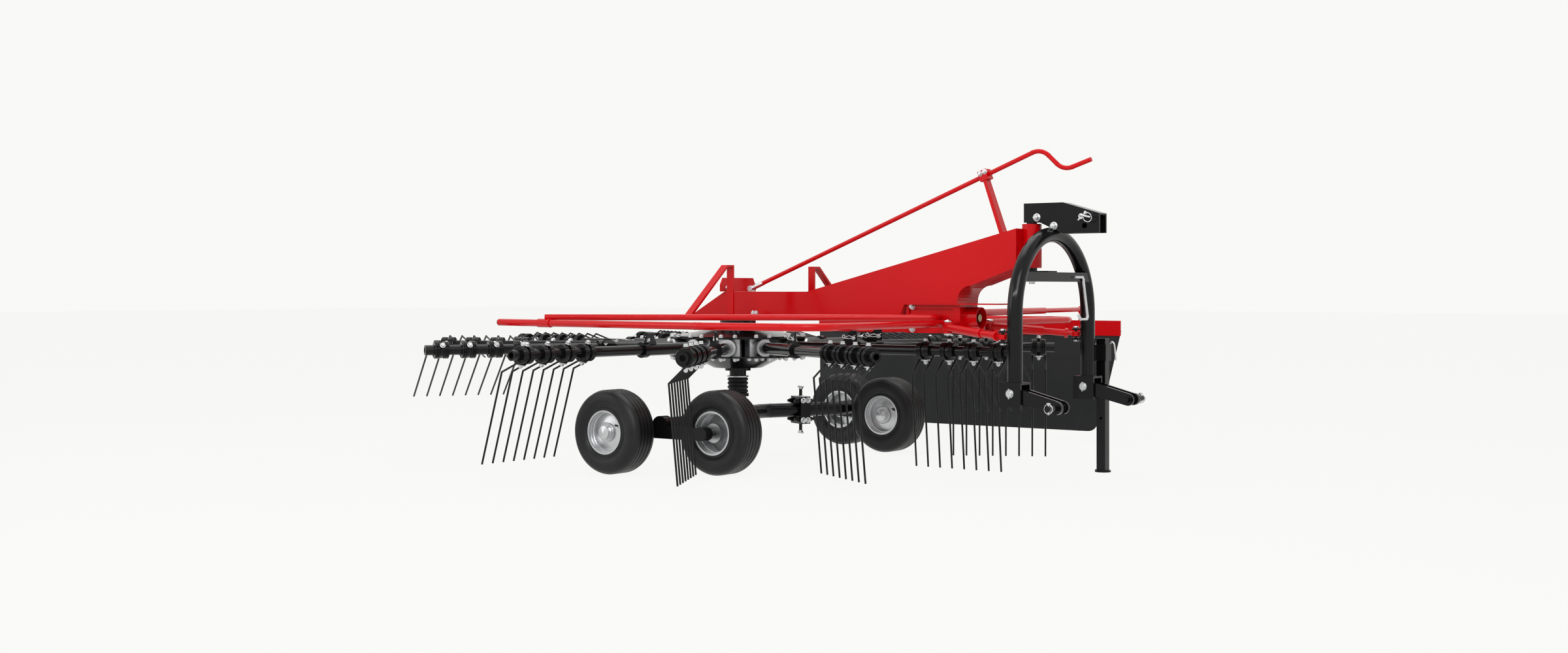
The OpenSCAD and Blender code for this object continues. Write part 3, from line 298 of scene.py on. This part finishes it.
def hex_bolt(bm, foot, axis, across, proud=0.0):
    """Washer, hexagon head with a turned chamfer, and a thread end where it stands proud."""
    r = across / math.sqrt(3)
    height = across * HEAD_H
    ring(bm, across * WASHER_IN, across * WASHER_OUT, across * WASHER_T, foot, axis)
    base = Vector(foot) + Vector(axis).normalized() * across * WASHER_T
    head = [(0, 0), (r, 0), (r, height * CHAMFER_FROM), (r * CHAMFER_IN, height), (0, height)]
    lathe(bm, head, base, axis, 6)
    if proud:
        root, tip = height * 0.9, height + proud
        thread_r = across * THREAD_R
        thread = [
            (0, root), (thread_r, root), (thread_r, height + proud * 0.8),
            (across * THREAD_TIP_R, tip), (0, tip),
        ]
        lathe(bm, thread, base, axis, 16)


def wire(name, points, radius, body, material, closed=False):
    """Bent round wire through points."""
    curve = bpy.data.curves.new(name, "CURVE")
    curve.dimensions = "3D"
    curve.bevel_depth = radius
    curve.bevel_resolution = 3
    curve.use_fill_caps = True
    spline = curve.splines.new("NURBS")
    spline.points.add(len(points) - 1)
    for place, point in zip(spline.points, points):
        place.co = (*point, 1)
    spline.use_endpoint_u = True
    spline.use_cyclic_u = closed
    spline.order_u = 3
    curve.materials.append(material)
    obj = bpy.data.objects.new(name, curve)
    bpy.context.scene.collection.objects.link(obj)
    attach(obj, body)


# Camera, light and floor

CAMERA_SENSOR = 36
CAMERA_LENS = 39.88
CAMERA_SHIFT = -0.0235
CAMERA_PLACE = at(5.588, -7.290, 0.886)
CAMERA_TURN = math.radians(35.949)
BACKDROP = (0.945, 0.945, 0.925)
AMBIENT = 0.55
FLOOR_HALF = 60
FLOOR_COLOR = (0.86, 0.86, 0.84)
FLOOR_GLOW = 0.95


def make_camera():
    """Level camera at the photograph's place."""
    data = bpy.data.cameras.new("camera")
    data.sensor_width = CAMERA_SENSOR
    data.lens = CAMERA_LENS
    data.shift_y = CAMERA_SHIFT
    camera = bpy.data.objects.new("camera", data)
    camera.location = CAMERA_PLACE
    camera.rotation_euler = (math.radians(90), 0, CAMERA_TURN)
    bpy.context.scene.collection.objects.link(camera)
    bpy.context.scene.camera = camera


def area_light(name, place, target, width, height, power):
    """Soft lamp aimed at a point."""
    data = bpy.data.lights.new(name, "AREA")
    data.shape = "RECTANGLE"
    data.size = width
    data.size_y = height
    data.energy = power
    lamp = bpy.data.objects.new(name, data)
    lamp.location = place
    lamp.rotation_euler = (target - place).to_track_quat("-Z", "Y").to_euler()
    bpy.context.scene.collection.objects.link(lamp)


def seen_rays(tree):
    """1 for rays that show the background as such: camera, glossy and transmission rays."""
    path = tree.nodes.new("ShaderNodeLightPath")
    total = path.outputs["Is Camera Ray"]
    for output in ("Is Glossy Ray", "Is Transmission Ray"):
        largest = tree.nodes.new("ShaderNodeMath")
        largest.operation = "MAXIMUM"
        tree.links.new(total, largest.inputs[0])
        tree.links.new(path.outputs[output], largest.inputs[1])
        total = largest.outputs[0]
    return total


def make_world():
    """Pale world that lights softly from all round."""
    world = bpy.data.worlds.new("studio")
    world.use_nodes = True
    bpy.context.scene.world = world
    tree = world.node_tree
    background = tree.nodes["Background"]
    background.inputs["Color"].default_value = (*BACKDROP, 1)
    scale = tree.nodes.new("ShaderNodeMapRange")
    scale.inputs["To Min"].default_value = AMBIENT
    scale.inputs["To Max"].default_value = 1.0
    tree.links.new(seen_rays(tree), scale.inputs["Value"])
    tree.links.new(scale.outputs["Result"], background.inputs["Strength"])


def floor_paper():
    """Pale paper that shows mostly as the backdrop and keeps a soft shadow."""
    material = bpy.data.materials.new("floor_paper")
    material.use_nodes = True
    tree = material.node_tree
    paper = tree.nodes["Principled BSDF"]
    paper.inputs["Base Color"].default_value = (*FLOOR_COLOR, 1)
    paper.inputs["Roughness"].default_value = 0.9
    glow = tree.nodes.new("ShaderNodeEmission")
    glow.inputs["Color"].default_value = (*BACKDROP, 1)
    share = tree.nodes.new("ShaderNodeMath")
    share.operation = "MULTIPLY"
    share.inputs[1].default_value = FLOOR_GLOW
    mix = tree.nodes.new("ShaderNodeMixShader")
    tree.links.new(seen_rays(tree), share.inputs[0])
    tree.links.new(share.outputs[0], mix.inputs["Fac"])
    tree.links.new(paper.outputs["BSDF"], mix.inputs[1])
    tree.links.new(glow.outputs["Emission"], mix.inputs[2])
    tree.links.new(mix.outputs["Shader"], tree.nodes["Material Output"].inputs["Surface"])
    return material


def make_floor():
    """Wide pale floor."""
    h = FLOOR_HALF
    mesh = bpy.data.meshes.new("floor")
    mesh.from_pydata([(-h, -h, 0), (h, -h, 0), (h, h, 0), (-h, h, 0)], [], [(0, 1, 2, 3)])
    mesh.materials.append(floor_paper())
    floor = bpy.data.objects.new("floor", mesh)
    bpy.context.scene.collection.objects.link(floor)


make_camera()
make_world()
make_floor()
area_light("key", at(6.0, -5.5, 5.5), at(0.6, 0, 0.6), 4.0, 4.0, 240)
area_light("fill", at(-4.5, -6.0, 3.5), at(0, 0, 0.6), 4.0, 4.0, 100)
area_light("top", at(0, 1.0, 6.5), at(0, 0, 0.6), 5.0, 5.0, 170)
area_light("strip", at(2.6, -5.6, 3.4), at(0.8, 0, 0.7), 5.0, 0.22, 80)


# Swath curtain

CLOTH_COLUMNS = 120
CLOTH_ROWS = 40
# Half the cloth's thickness as a share of its box's depth
CLOTH_SHARE = 0.2
CORNER_R = 0.06
FOLD = 0.004
HEM_H = 0.03
HEM_RISE = 0.0015
# Stiffener pockets as shares of the width
POCKETS = (0.06, 0.36, 0.66, 0.94)
POCKET_W = 0.016
POCKET_RISE = 0.004


def fold_depth(u, v):
    """Sideways swell of the cloth, growing towards its free lower edge."""
    return FOLD * v * (math.sin(7.3 * u + 1.1) + 0.5 * math.sin(17 * u + 2.0 * v))


def round_corner(x, z, corner_x, way, low_z):
    """Point drawn in where it lies outside a rounded lower corner."""
    inside = CORNER_R - (x - corner_x) * way
    under = CORNER_R - (z - low_z)
    if inside > 0 and under > 0:
        reach = math.hypot(inside, under)
        if reach > CORNER_R:
            x += way * inside * (1 - CORNER_R / reach)
            z += under * (1 - CORNER_R / reach)
    return x, z


def make_curtain():
    """Hanging coated cloth with upright stiffener pockets and a turned hem."""
    low, high = (Vector(c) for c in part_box("curtain"))
    width, drop = high.x - low.x, high.z - low.z
    slant = 0.15
    half = (high.y - low.y) * CLOTH_SHARE

    def place(u, v, way):
        """Point of the cloth at shares of its width and drop, on one of its faces."""
        x = low.x + (width - slant * v) * u
        z = high.z - drop * v
        for corner_x, inward in ((low.x, 1), (high.x - slant, -1)):
            x, z = round_corner(x, z, corner_x, inward, low.z)
        rib = max(math.exp(-(((u - p) * width) / POCKET_W) ** 2) for p in POCKETS) * POCKET_RISE
        hem = HEM_RISE if v > 1 - HEM_H / drop else 0.0
        y = (low.y + high.y) / 2 + fold_depth(u, v) + way * (half + rib + hem)
        return x, y, z

    columns, rows = CLOTH_COLUMNS, CLOTH_ROWS
    bm = bmesh.new()
    near, far = (
        [
            [bm.verts.new(place(c / columns, r / rows, way)) for c in range(columns + 1)]
            for r in range(rows + 1)
        ]
        for way in (-1, 1)
    )
    for grid in (near, far):
        for r in range(rows):
            for c in range(columns):
                bm.faces.new((grid[r][c], grid[r][c + 1], grid[r + 1][c + 1], grid[r + 1][c]))
    rim = [(0, c) for c in range(columns)] + [(r, columns) for r in range(rows)]
    rim += [(rows, c) for c in range(columns, 0, -1)] + [(r, 0) for r in range(rows, 0, -1)]
    for (r0, c0), (r1, c1) in zip(rim, rim[1:] + rim[:1]):
        bm.faces.new((near[r0][c0], near[r1][c1], far[r1][c1], far[r0][c0]))
    cloth = piece("swath_curtain", bm, "curtain", CLOTH, smooth=60)
    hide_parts("curtain")


make_curtain()


# Rotor fittings

ARM_COUNT = 12
ARM_PHASE = math.radians(29.15)
ARM_LIFT = math.radians(78)
# How far the cam has lifted each arm in the photograph
LIFT_SHARES = (0, 0.62, 1, 1, 1, 1, 1, 0.77, 0.28, 0, 0, 0)
ARM_Z = middle("bearing_housings").z
LAST_PAIR_R = 1.574
TINE_PITCH = 0.135
TINE_PAIRS = 4
COIL_R = 0.0435
CLIP_T = 0.005
CLIP_PLATE = [(0, 0), (0.021, 0), (0.022, 0.001), (0.022, 0.004), (0.021, CLIP_T), (0, CLIP_T)]
CLIP_TOP_Z = 0.047
ROTOR_BOLT = 0.019
HOUSING_BOLT_R = (0.252, 0.345)
HOUSING_BOLT_Y = 0.036
HUB_DISC_T = 0.0085
EAR_R = 0.728
EAR_HALF = 0.0045
HAIRPIN_R = 0.0024
HAIRPIN_OFF = 0.0028
# Straight leg, loop and waved leg, along the arm and above it
HAIRPIN_LINE = (
    (0.030, 0.052), (0.008, 0.052), (-0.020, 0.052), (-0.040, 0.053), (-0.050, 0.058),
    (-0.050, 0.066), (-0.042, 0.071), (-0.034, 0.066), (-0.036, 0.058), (-0.024, 0.060),
    (-0.010, 0.068), (0.004, 0.062), (0.016, 0.060), (0.030, 0.070),
)
ARM_PIN_X = 0.016
ARM_PIN_Z = 0.055
ARM_PIN = [(0, 0), (0.0065, 0), (0.0065, 0.006), (0.005, 0.008), (0, 0.008)]


def housing_place(i):
    """Frame of arm i's bearing housing, which doesn't twist: X along the arm."""
    angle = ARM_PHASE + 2 * math.pi * i / ARM_COUNT
    return Matrix.Translation(at(0, 0, ARM_Z)) @ Matrix.Rotation(angle, 4, "Z")


def arm_place(i):
    """Frame of arm i: X along the arm, Y to its trailing side, turned by its own twist."""
    twist = Matrix.Rotation(ARM_LIFT * LIFT_SHARES[i], 4, "X")
    flip = Matrix.Diagonal((1, -1, 1, 1))
    return housing_place(i) @ flip @ twist


def make_tine_clips():
    """Clamp plate and nut under the coils of every double tine, and a bolt head above."""
    bm = bmesh.new()
    for i in range(ARM_COUNT):
        place = arm_place(i)
        down = place.to_3x3() @ -Z
        for p in range(TINE_PAIRS):
            r = LAST_PAIR_R - p * TINE_PITCH
            foot = place @ Vector((r, 0, -COIL_R))
            lathe(bm, CLIP_PLATE, foot, down, 20)
            hex_bolt(bm, foot + down * CLIP_T, down, ROTOR_BOLT, 0.004)
            hex_bolt(bm, place @ Vector((r, 0, CLIP_TOP_Z)), -down, ROTOR_BOLT)
    piece("tine_clips", bm, "rotor", ZINC)


def make_housing_bolts():
    """Bolts through the hub discs into the cast housings."""
    low, high = (Vector(c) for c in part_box("bearing_housings"))
    faces = ((high.z + HUB_DISC_T - ARM_Z, Z), (low.z - HUB_DISC_T - ARM_Z, -Z))
    bm = bmesh.new()
    for i in range(ARM_COUNT):
        place = housing_place(i)
        for r in HOUSING_BOLT_R:
            for y in (-HOUSING_BOLT_Y, HOUSING_BOLT_Y):
                for z, way in faces:
                    hex_bolt(bm, place @ Vector((r, y, z)), way, ROTOR_BOLT, 0.003)
    piece("housing_bolts", bm, "rotor", ZINC)


def make_hairpins():
    """One spring clip on each arm's ear."""
    for i in range(ARM_COUNT):
        place = arm_place(i)
        y = EAR_HALF + HAIRPIN_OFF
        points = [place @ Vector((EAR_R + x, y, z)) for x, z in HAIRPIN_LINE]
        wire(f"arm_clip_{i + 1}", points, HAIRPIN_R, "rotor", ZINC)


def make_arm_pins():
    """Pin with a washer through each arm's ear, under its clip."""
    bm = bmesh.new()
    for i in range(ARM_COUNT):
        place = arm_place(i)
        side = place.to_3x3() @ Y
        for way in WAYS:
            foot = place @ Vector((EAR_R + ARM_PIN_X, way * EAR_HALF, ARM_PIN_Z))
            ring(bm, 0.004, 0.011, 0.002, foot, side * way, 20)
            lathe(bm, ARM_PIN, foot, side * way, 16)
    piece("arm_pins", bm, "rotor", ZINC)


make_tine_clips()
make_housing_bolts()
make_hairpins()
make_arm_pins()


# Chassis fittings

BAND_H = 0.008
BAND_GAP = 0.0005
BAND_PROUD = 0.001
# The clamp stands square to the slanting axle arm
CLAMP_TURN = -math.atan2(0.2145, 0.423)
# Distances from the clamp's middle across, along and up
JAW_NUT = (0.0393, 0.0295, 0.0493)
JAW_BOLT = (0.0588, 0.0145, 0.054)
SCREW_SUNK = 0.012
SCREW_HEAD = [(0, 0), (0.012, 0), (0.013, 0.003), (0.013, 0.012), (0.010, 0.016), (0, 0.016)]
SCREW_WING = [(0, 0), (0.005, 0.002), (0.007, 0.016), (0.006, 0.026), (0.003, 0.030), (0, 0.030)]
WING_Z = 0.008
WING_TILT = 0.15
LOCK_NUT = [(0, 0), (0.019, 0), (0.019, 0.010), (0.016, 0.013), (0, 0.013)]
LOCK_NUT_DOWN = 0.05
RACK_T = 0.010
RACK_BOLT_X = (0.217, 0.237)
RACK_BOLT_Y = 0.155
BRACKET_BOLTS = ((1.135, 0.695), (1.345, 0.690), (1.135, 0.805))
BRACKET_Y = 0.085
# Heads of the struts' rear pins, with the way they look
STRUT_PIN = (1.400, 0.200)
STRUT_PIN_ENDS = ((0.6807, -1), (0.7313, 1))
STRUT_PIN_HEAD = [
    (0, 0), (0.016, 0), (0.018, 0.002), (0.018, 0.007),
    (0.015, 0.010), (0.005, 0.010), (0.004, 0.013), (0, 0.013),
]
CRANK_BLOCK = (1.490, 0.026, 1.444)
CRANK_BOLT_X = 0.012
CRANK_SLOPE = 0.4
PLATE_BOLT_Y = 0.10
PLATE_BOLT_Z = 0.895
PLATE_HALF = 0.004
SMALL_BOLT = 0.017
GUARD_END = (-0.640, 1.115, 0.724)
GUARD_RUN = (-1.386, -0.155)
GUARD_PLUG = [
    (0, -0.002), (0.0165, -0.002), (0.0172, 0.0005), (0.0160, 0.004), (0.010, 0.0065), (0, 0.007),
]


def make_column_rings():
    """Clamp bands above and below the bellows."""
    low, high = (Vector(c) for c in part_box("bellows"))
    radius = (high.x - low.x) / 2
    bm = bmesh.new()
    for z in (high.z + BAND_GAP, low.z - BAND_GAP - BAND_H):
        ring(bm, radius * 0.8, radius + BAND_PROUD, BAND_H, (ROTOR.x, ROTOR.y, z), Z, 48)
    piece("bellows_bands", bm, "chassis", ZINC)


def make_clamp_screws():
    """Nuts and bolts on the tilt clamp's jaws and winged heads on its adjusting screws."""
    low, high = (Vector(c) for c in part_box("tilt_clamp"))
    centre = (low + high) / 2
    turn = Matrix.Rotation(CLAMP_TURN, 3, "Z")
    across, along = turn @ X, turn @ Y

    bm = bmesh.new()
    x, y, z = JAW_NUT
    for i in WAYS:
        for j in WAYS:
            for k in WAYS:
                foot = centre + across * x * i + along * y * j + Z * z * k
                hex_bolt(bm, foot, along * j, 0.024, 0.012)
    piece("clamp_nuts", bm, "chassis", BLACK)

    bm = bmesh.new()
    x, y, z = JAW_BOLT
    for j in WAYS:
        for k in WAYS:
            hex_bolt(bm, centre + across * x + along * y * j + Z * z * k, across, 0.022, 0.006)
    for way, end in ((1, high.z), (-1, low.z)):
        up = Z * way
        tip = Vector((centre.x, centre.y, end)) - up * SCREW_SUNK
        lathe(bm, SCREW_HEAD, tip, up, 20)
        for i in WAYS:
            lathe(bm, SCREW_WING, tip + up * WING_Z, across * i + up * WING_TILT, 14)
        lathe(bm, LOCK_NUT, tip - up * LOCK_NUT_DOWN, up, 6)
    piece("clamp_screws", bm, "chassis", ZINC)


def make_chassis_bolts():
    """Bolts on the racks, drive bracket, crank bracket and rear plate, and the strut pins."""
    bm = bmesh.new()
    rack_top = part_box("arm_rack_right")[0][2] + RACK_T
    for side in SIDES.values():
        for x in RACK_BOLT_X:
            hex_bolt(bm, at(x, side * RACK_BOLT_Y, rack_top), Z, SMALL_BOLT, 0.004)
        for x, z in BRACKET_BOLTS:
            hex_bolt(bm, at(x, side * BRACKET_Y, z), Y * side, 0.022, 0.006)
        x, y = STRUT_PIN
        for z, way in STRUT_PIN_ENDS:
            lathe(bm, STRUT_PIN_HEAD, at(x, side * y, z), Z * way, 24)
    for way in WAYS:
        x, y, z = CRANK_BLOCK
        for ahead in (-CRANK_BOLT_X, CRANK_BOLT_X):
            foot = at(x + ahead, way * y, z + ahead * CRANK_SLOPE)
            hex_bolt(bm, foot, Y * way, SMALL_BOLT, 0.003)
    for y in (-PLATE_BOLT_Y, PLATE_BOLT_Y):
        hex_bolt(bm, at(PLATE_HALF, y, PLATE_BOLT_Z), X, SMALL_BOLT, 0.003)
        hex_bolt(bm, at(-PLATE_HALF, y, PLATE_BOLT_Z), -X, SMALL_BOLT)
    piece("chassis_bolts", bm, "chassis", ZINC)


def make_guard_trim():
    """Plastic plugs in the guards' rear ends."""
    bm = bmesh.new()
    x, y, z = GUARD_END
    for side in SIDES.values():
        way = Vector((GUARD_RUN[0], side * GUARD_RUN[1], 0)).normalized()
        lathe(bm, GUARD_PLUG, at(x, side * y, z), way, 24)
    piece("guard_plugs", bm, "chassis", GRIP)


make_column_rings()
make_clamp_screws()
make_chassis_bolts()
make_guard_trim()


# Headstock fittings

LEG_Y = 0.366
FOOT_BOLT = (1.848, 0.0485, 0.420)
FOOT_HEAD = [
    (0, 0.003), (0.0135, 0.003), (0.0145, 0.005), (0.0145, 0.010), (0.0125, 0.012), (0, 0.012),
]
COTTER = [(0, -0.024), (0.0028, -0.023), (0.0028, 0.023), (0, 0.024)]
COTTER_OUT = 0.0115
# Heads of the struts' front pins, with the way they look
CLEVIS_X = 1.787
CLEVIS_ENDS = ((0.6995, 1), (0.6445, -1))
CLEVIS_HEAD = [(0, 0), (0.012, 0), (0.0135, 0.002), (0.0135, 0.007), (0.011, 0.009), (0, 0.009)]
TOP_BRACKET_BOLTS = ((1.787, 1.223), (1.875, 1.182))
TOP_BRACKET_Y = 0.039
SWIVEL_NUT = at(1.740, 0, 0.956)
LINCH_PIN = [
    (0, -0.028), (0.003, -0.027), (0.004, -0.024), (0.004, 0.020),
    (0.009, 0.021), (0.009, 0.028), (0, 0.030),
]
LINK_PIN = [
    (0, -0.026), (0.003, -0.025), (0.0042, -0.022), (0.0042, 0.018),
    (0.009, 0.019), (0.009, 0.026), (0, 0.028),
]
LINCH_SET_IN = 0.010
LINCH_AXIS = Vector((0.75, 0, 0.66))
LINCH_LOOP_AT = Vector((0.030, -0.006, -0.006))
LINCH_LOOP_R = 0.021
LINCH_LOOP_SWAY = 0.004
TOP_HANDLE = (
    (0, 0, 0), (-0.002, -0.008, 0.002), (0.010, -0.012, 0.004),
    (0.030, -0.012, -0.002), (0.052, -0.010, -0.006),
)
LEG_LOCK = [(0, 0.004), (0.0105, 0.004), (0.0105, 0.018), (0.008, 0.020), (0, 0.020)]
LEG_HANDLE = (
    (0.0, 0.018, 0.0), (0.0, 0.034, 0.0), (0.002, 0.042, 0.012),
    (0.004, 0.042, 0.034), (0.010, 0.040, 0.048), (0.020, 0.038, 0.050),
    (0.028, 0.038, 0.040), (0.032, 0.038, 0.010), (0.036, 0.038, -0.040),
)
# Middle of a tongue's pin from its box's front and foot, and its clip from the outer end
TONGUE_PIN_IN = 0.029
LINK_SET_IN = 0.012
# Open ring of a tongue's clip: its middle ahead and outwards, half sizes, and angles
LINK_RING_AT = (0.001, 0.003)
LINK_RING_HALF = (0.020, 0.021)
LINK_RING_ANGLES = [math.radians(15 + 22 * k) for k in range(16)]


def make_headstock_pins():
    """Foot bolts with cotters, the struts' front pins, bracket bolts and the swivel nut."""
    bm = bmesh.new()
    for side in SIDES.values():
        for way in WAYS:
            x, half, z = FOOT_BOLT
            foot = at(x, side * LEG_Y + way * half, z)
            ring(bm, 0.010, 0.0195, 0.004, foot, Y * way, 28)
            lathe(bm, FOOT_HEAD, foot, Y * way, 28)
            lathe(bm, COTTER, foot + Y * way * COTTER_OUT, Z, 12)
        for z, way in CLEVIS_ENDS:
            lathe(bm, CLEVIS_HEAD, at(CLEVIS_X, side * LEG_Y, z), Z * way, 20)
    for way in WAYS:
        for x, z in TOP_BRACKET_BOLTS:
            hex_bolt(bm, at(x, way * TOP_BRACKET_Y, z), Y * way, 0.026, 0.006)
    hex_bolt(bm, SWIVEL_NUT, -Z, 0.046, 0.010)
    piece("headstock_pins", bm, "headstock", ZINC)


def make_linch_pins():
    """Linch pin with its spring ring, and bent handle, on the top link pin's right end."""
    pin = middle("top_link_pin")
    low = Vector(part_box("top_link_pin")[0])
    end = Vector((pin.x, low.y + LINCH_SET_IN, pin.z))
    bm = bmesh.new()
    lathe(bm, LINCH_PIN, end, LINCH_AXIS, 16)
    piece("top_linch_pin", bm, "headstock", ZINC)
    loop = []
    for a in circle_angles(16):
        ahead, up = LINCH_LOOP_R * math.cos(a), LINCH_LOOP_R * math.sin(a)
        sideways = -LINCH_LOOP_SWAY * math.sin(a)
        loop.append(end + LINCH_LOOP_AT + Vector((ahead, sideways, up)))
    wire("top_linch_ring", loop, 0.0021, "headstock", ZINC, closed=True)
    root = Vector((pin.x, low.y - 0.002, pin.z))
    handle = [root + Vector(p) for p in TOP_HANDLE]
    wire("top_pin_handle", handle, 0.0042, "headstock", ZINC)


def make_leg_handle():
    """Spring locking pin on the parking leg's sleeve, with its bent handle."""
    sleeve_low, sleeve_high = (Vector(c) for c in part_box("leg_sleeve"))
    leg_low, leg_high = (Vector(c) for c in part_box("parking_leg"))
    x = (leg_low.x + leg_high.x) / 2
    z = (sleeve_low.z + sleeve_high.z) / 2
    foot = Vector((x, sleeve_high.y, z))
    bm = bmesh.new()
    ring(bm, 0.007, 0.015, 0.006, foot, Y, 24)
    lathe(bm, LEG_LOCK, foot, Y, 20)
    piece("leg_lock", bm, "headstock", ZINC)
    handle = [foot + Vector(p) for p in LEG_HANDLE]
    wire("leg_lock_handle", handle, 0.004, "headstock", ZINC)


def make_tongue_clips():
    """Linch pin with its ring through each lower link pin's outer end."""
    for name, side in SIDES.items():
        low, high = (Vector(c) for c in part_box("tongue_" + name))
        y = (low.y if side < 0 else high.y) - side * LINK_SET_IN
        centre = Vector((high.x - TONGUE_PIN_IN, y, low.z + TONGUE_PIN_IN))
        bm = bmesh.new()
        lathe(bm, LINK_PIN, centre, Z, 16)
        piece("link_linch_" + name, bm, "tongue_" + name, ZINC)
        ahead, out = LINK_RING_AT
        half_x, half_z = LINK_RING_HALF
        loop = [
            centre + Vector((ahead + half_x * math.sin(a), side * out, half_z * math.cos(a)))
            for a in LINK_RING_ANGLES
        ]
        wire("link_ring_" + name, loop, 0.002, "tongue_" + name, ZINC)


make_headstock_pins()
make_linch_pins()
make_leg_handle()
make_tongue_clips()


# Wheel fittings

# Rounded side of the tyre: radius of its middle, reach up and down, half width there and bulge
SIDE_MIDDLE_R = 0.155
SIDE_REACH = 0.045
SIDE_HALF = 0.0525
SIDE_BULGE = 0.030
SIDEWALL_RINGS = (0.130, 0.170, 0.180)
RING_W = 0.003
RING_T = 0.0025
RING_SUNK = 0.0014
RIM_BARREL = 0.0978
# Inner radius, start along the axle and depth of each step in the rim's barrel
RIM_STEPS = ((0.0885, 0.034, 0.016), (0.0935, 0.050, 0.012))
# Inner and outer radius, thickness and start along the axle of the cap's bead and the seal
HUB_BEADS = ((0.0300, 0.0345, 0.005, 0.0595), (0.0425, 0.0475, 0.006, 0.0530))
RIM_DISC_OUT = 0.0412
VALVE_FOOT = Vector((0.066, 0, 0.032))
VALVE_WAY = Vector((0.062, 0, 0.030)).normalized() * 0.35
VALVE = [
    (0, -0.006), (0.0075, -0.006), (0.0085, 0), (0.006, 0.004), (0.0042, 0.010),
    (0.0042, 0.030), (0.0052, 0.031), (0.0052, 0.040), (0.004, 0.042), (0, 0.042),
]


def sidewall(radius):
    """Half width of the tyre at a radius on its rounded side."""
    off = (radius - SIDE_MIDDLE_R) / SIDE_REACH
    return SIDE_HALF + SIDE_BULGE * math.sqrt(1 - off**2)


def make_wheel_trim(wheel, face):
    """Valve, hub cap bead, bearing seal, sidewall rings and rim steps on a wheel."""
    centre = middle("tyre_" + wheel)
    bm = bmesh.new()
    foot = centre + face * RIM_DISC_OUT + VALVE_FOOT
    lathe(bm, VALVE, foot, (VALVE_WAY + face).normalized(), 14)
    piece("valve_" + wheel, bm, "wheel_" + wheel, GRIP)
    bm = bmesh.new()
    for r_in, r_out, thickness, start in HUB_BEADS:
        ring(bm, r_in, r_out, thickness, centre + face * start, face, 40)
    piece("hub_beads_" + wheel, bm, "wheel_" + wheel, ZINC)
    bm = bmesh.new()
    for way in (Y, -Y):
        for r in SIDEWALL_RINGS:
            foot = centre + way * (sidewall(r) - RING_SUNK)
            ring(bm, r - RING_W / 2, r + RING_W / 2, RING_T, foot, way, 72)
    piece("sidewall_rings_" + wheel, bm, "wheel_" + wheel, TYRE)
    bm = bmesh.new()
    for way in (face, -face):
        for r_in, start, depth in RIM_STEPS:
            ring(bm, r_in, RIM_BARREL, depth, centre + way * start, way, 64)
    piece("rim_steps_" + wheel, bm, "wheel_" + wheel, RIM)


# The front wheels stand inside their rockers and face inwards, the rear ones outside
for axle, outward in (("front_", -1), ("rear_", 1)):
    for name, side in SIDES.items():
        make_wheel_trim(axle + name, Y * side * outward)


# Splines on the drive stub

SPLINE_COUNT = 6
SPLINE_HALF = 0.0046
SPLINE_TOP_HALF = 0.00414
SPLINE_ROOT = 0.0150
SPLINE_TOP = 0.0179
# Ends of the teeth before and behind the lock groove, from the stub's end
SPLINE_RUNS = ((0.060, 0.034), (0.024, 0.0005))
BLOCK_FACES = (
    (0, 1, 2, 3), (7, 6, 5, 4), (0, 4, 5, 1), (1, 5, 6, 2), (2, 6, 7, 3), (3, 7, 4, 0),
)


def make_splines():
    """Teeth along the stub with a lock groove."""
    low, high = (Vector(c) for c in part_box("input_shaft"))
    axis = Matrix.Translation((0, (low.y + high.y) / 2, (low.z + high.z) / 2))
    section = (
        (-SPLINE_HALF, SPLINE_ROOT), (SPLINE_HALF, SPLINE_ROOT),
        (SPLINE_TOP_HALF, SPLINE_TOP), (-SPLINE_TOP_HALF, SPLINE_TOP),
    )
    bm = bmesh.new()
    for angle in circle_angles(SPLINE_COUNT):
        turn = axis @ Matrix.Rotation(angle, 4, "X")
        for run in SPLINE_RUNS:
            tooth = [
                bm.verts.new(turn @ Vector((high.x - back, y, z)))
                for back in run
                for y, z in section
            ]
            for quad in BLOCK_FACES:
                bm.faces.new([tooth[v] for v in quad])
    piece("stub_splines", bm, "input", OILED)


make_splines()


bpy.context.scene.view_settings.view_transform = "Standard"
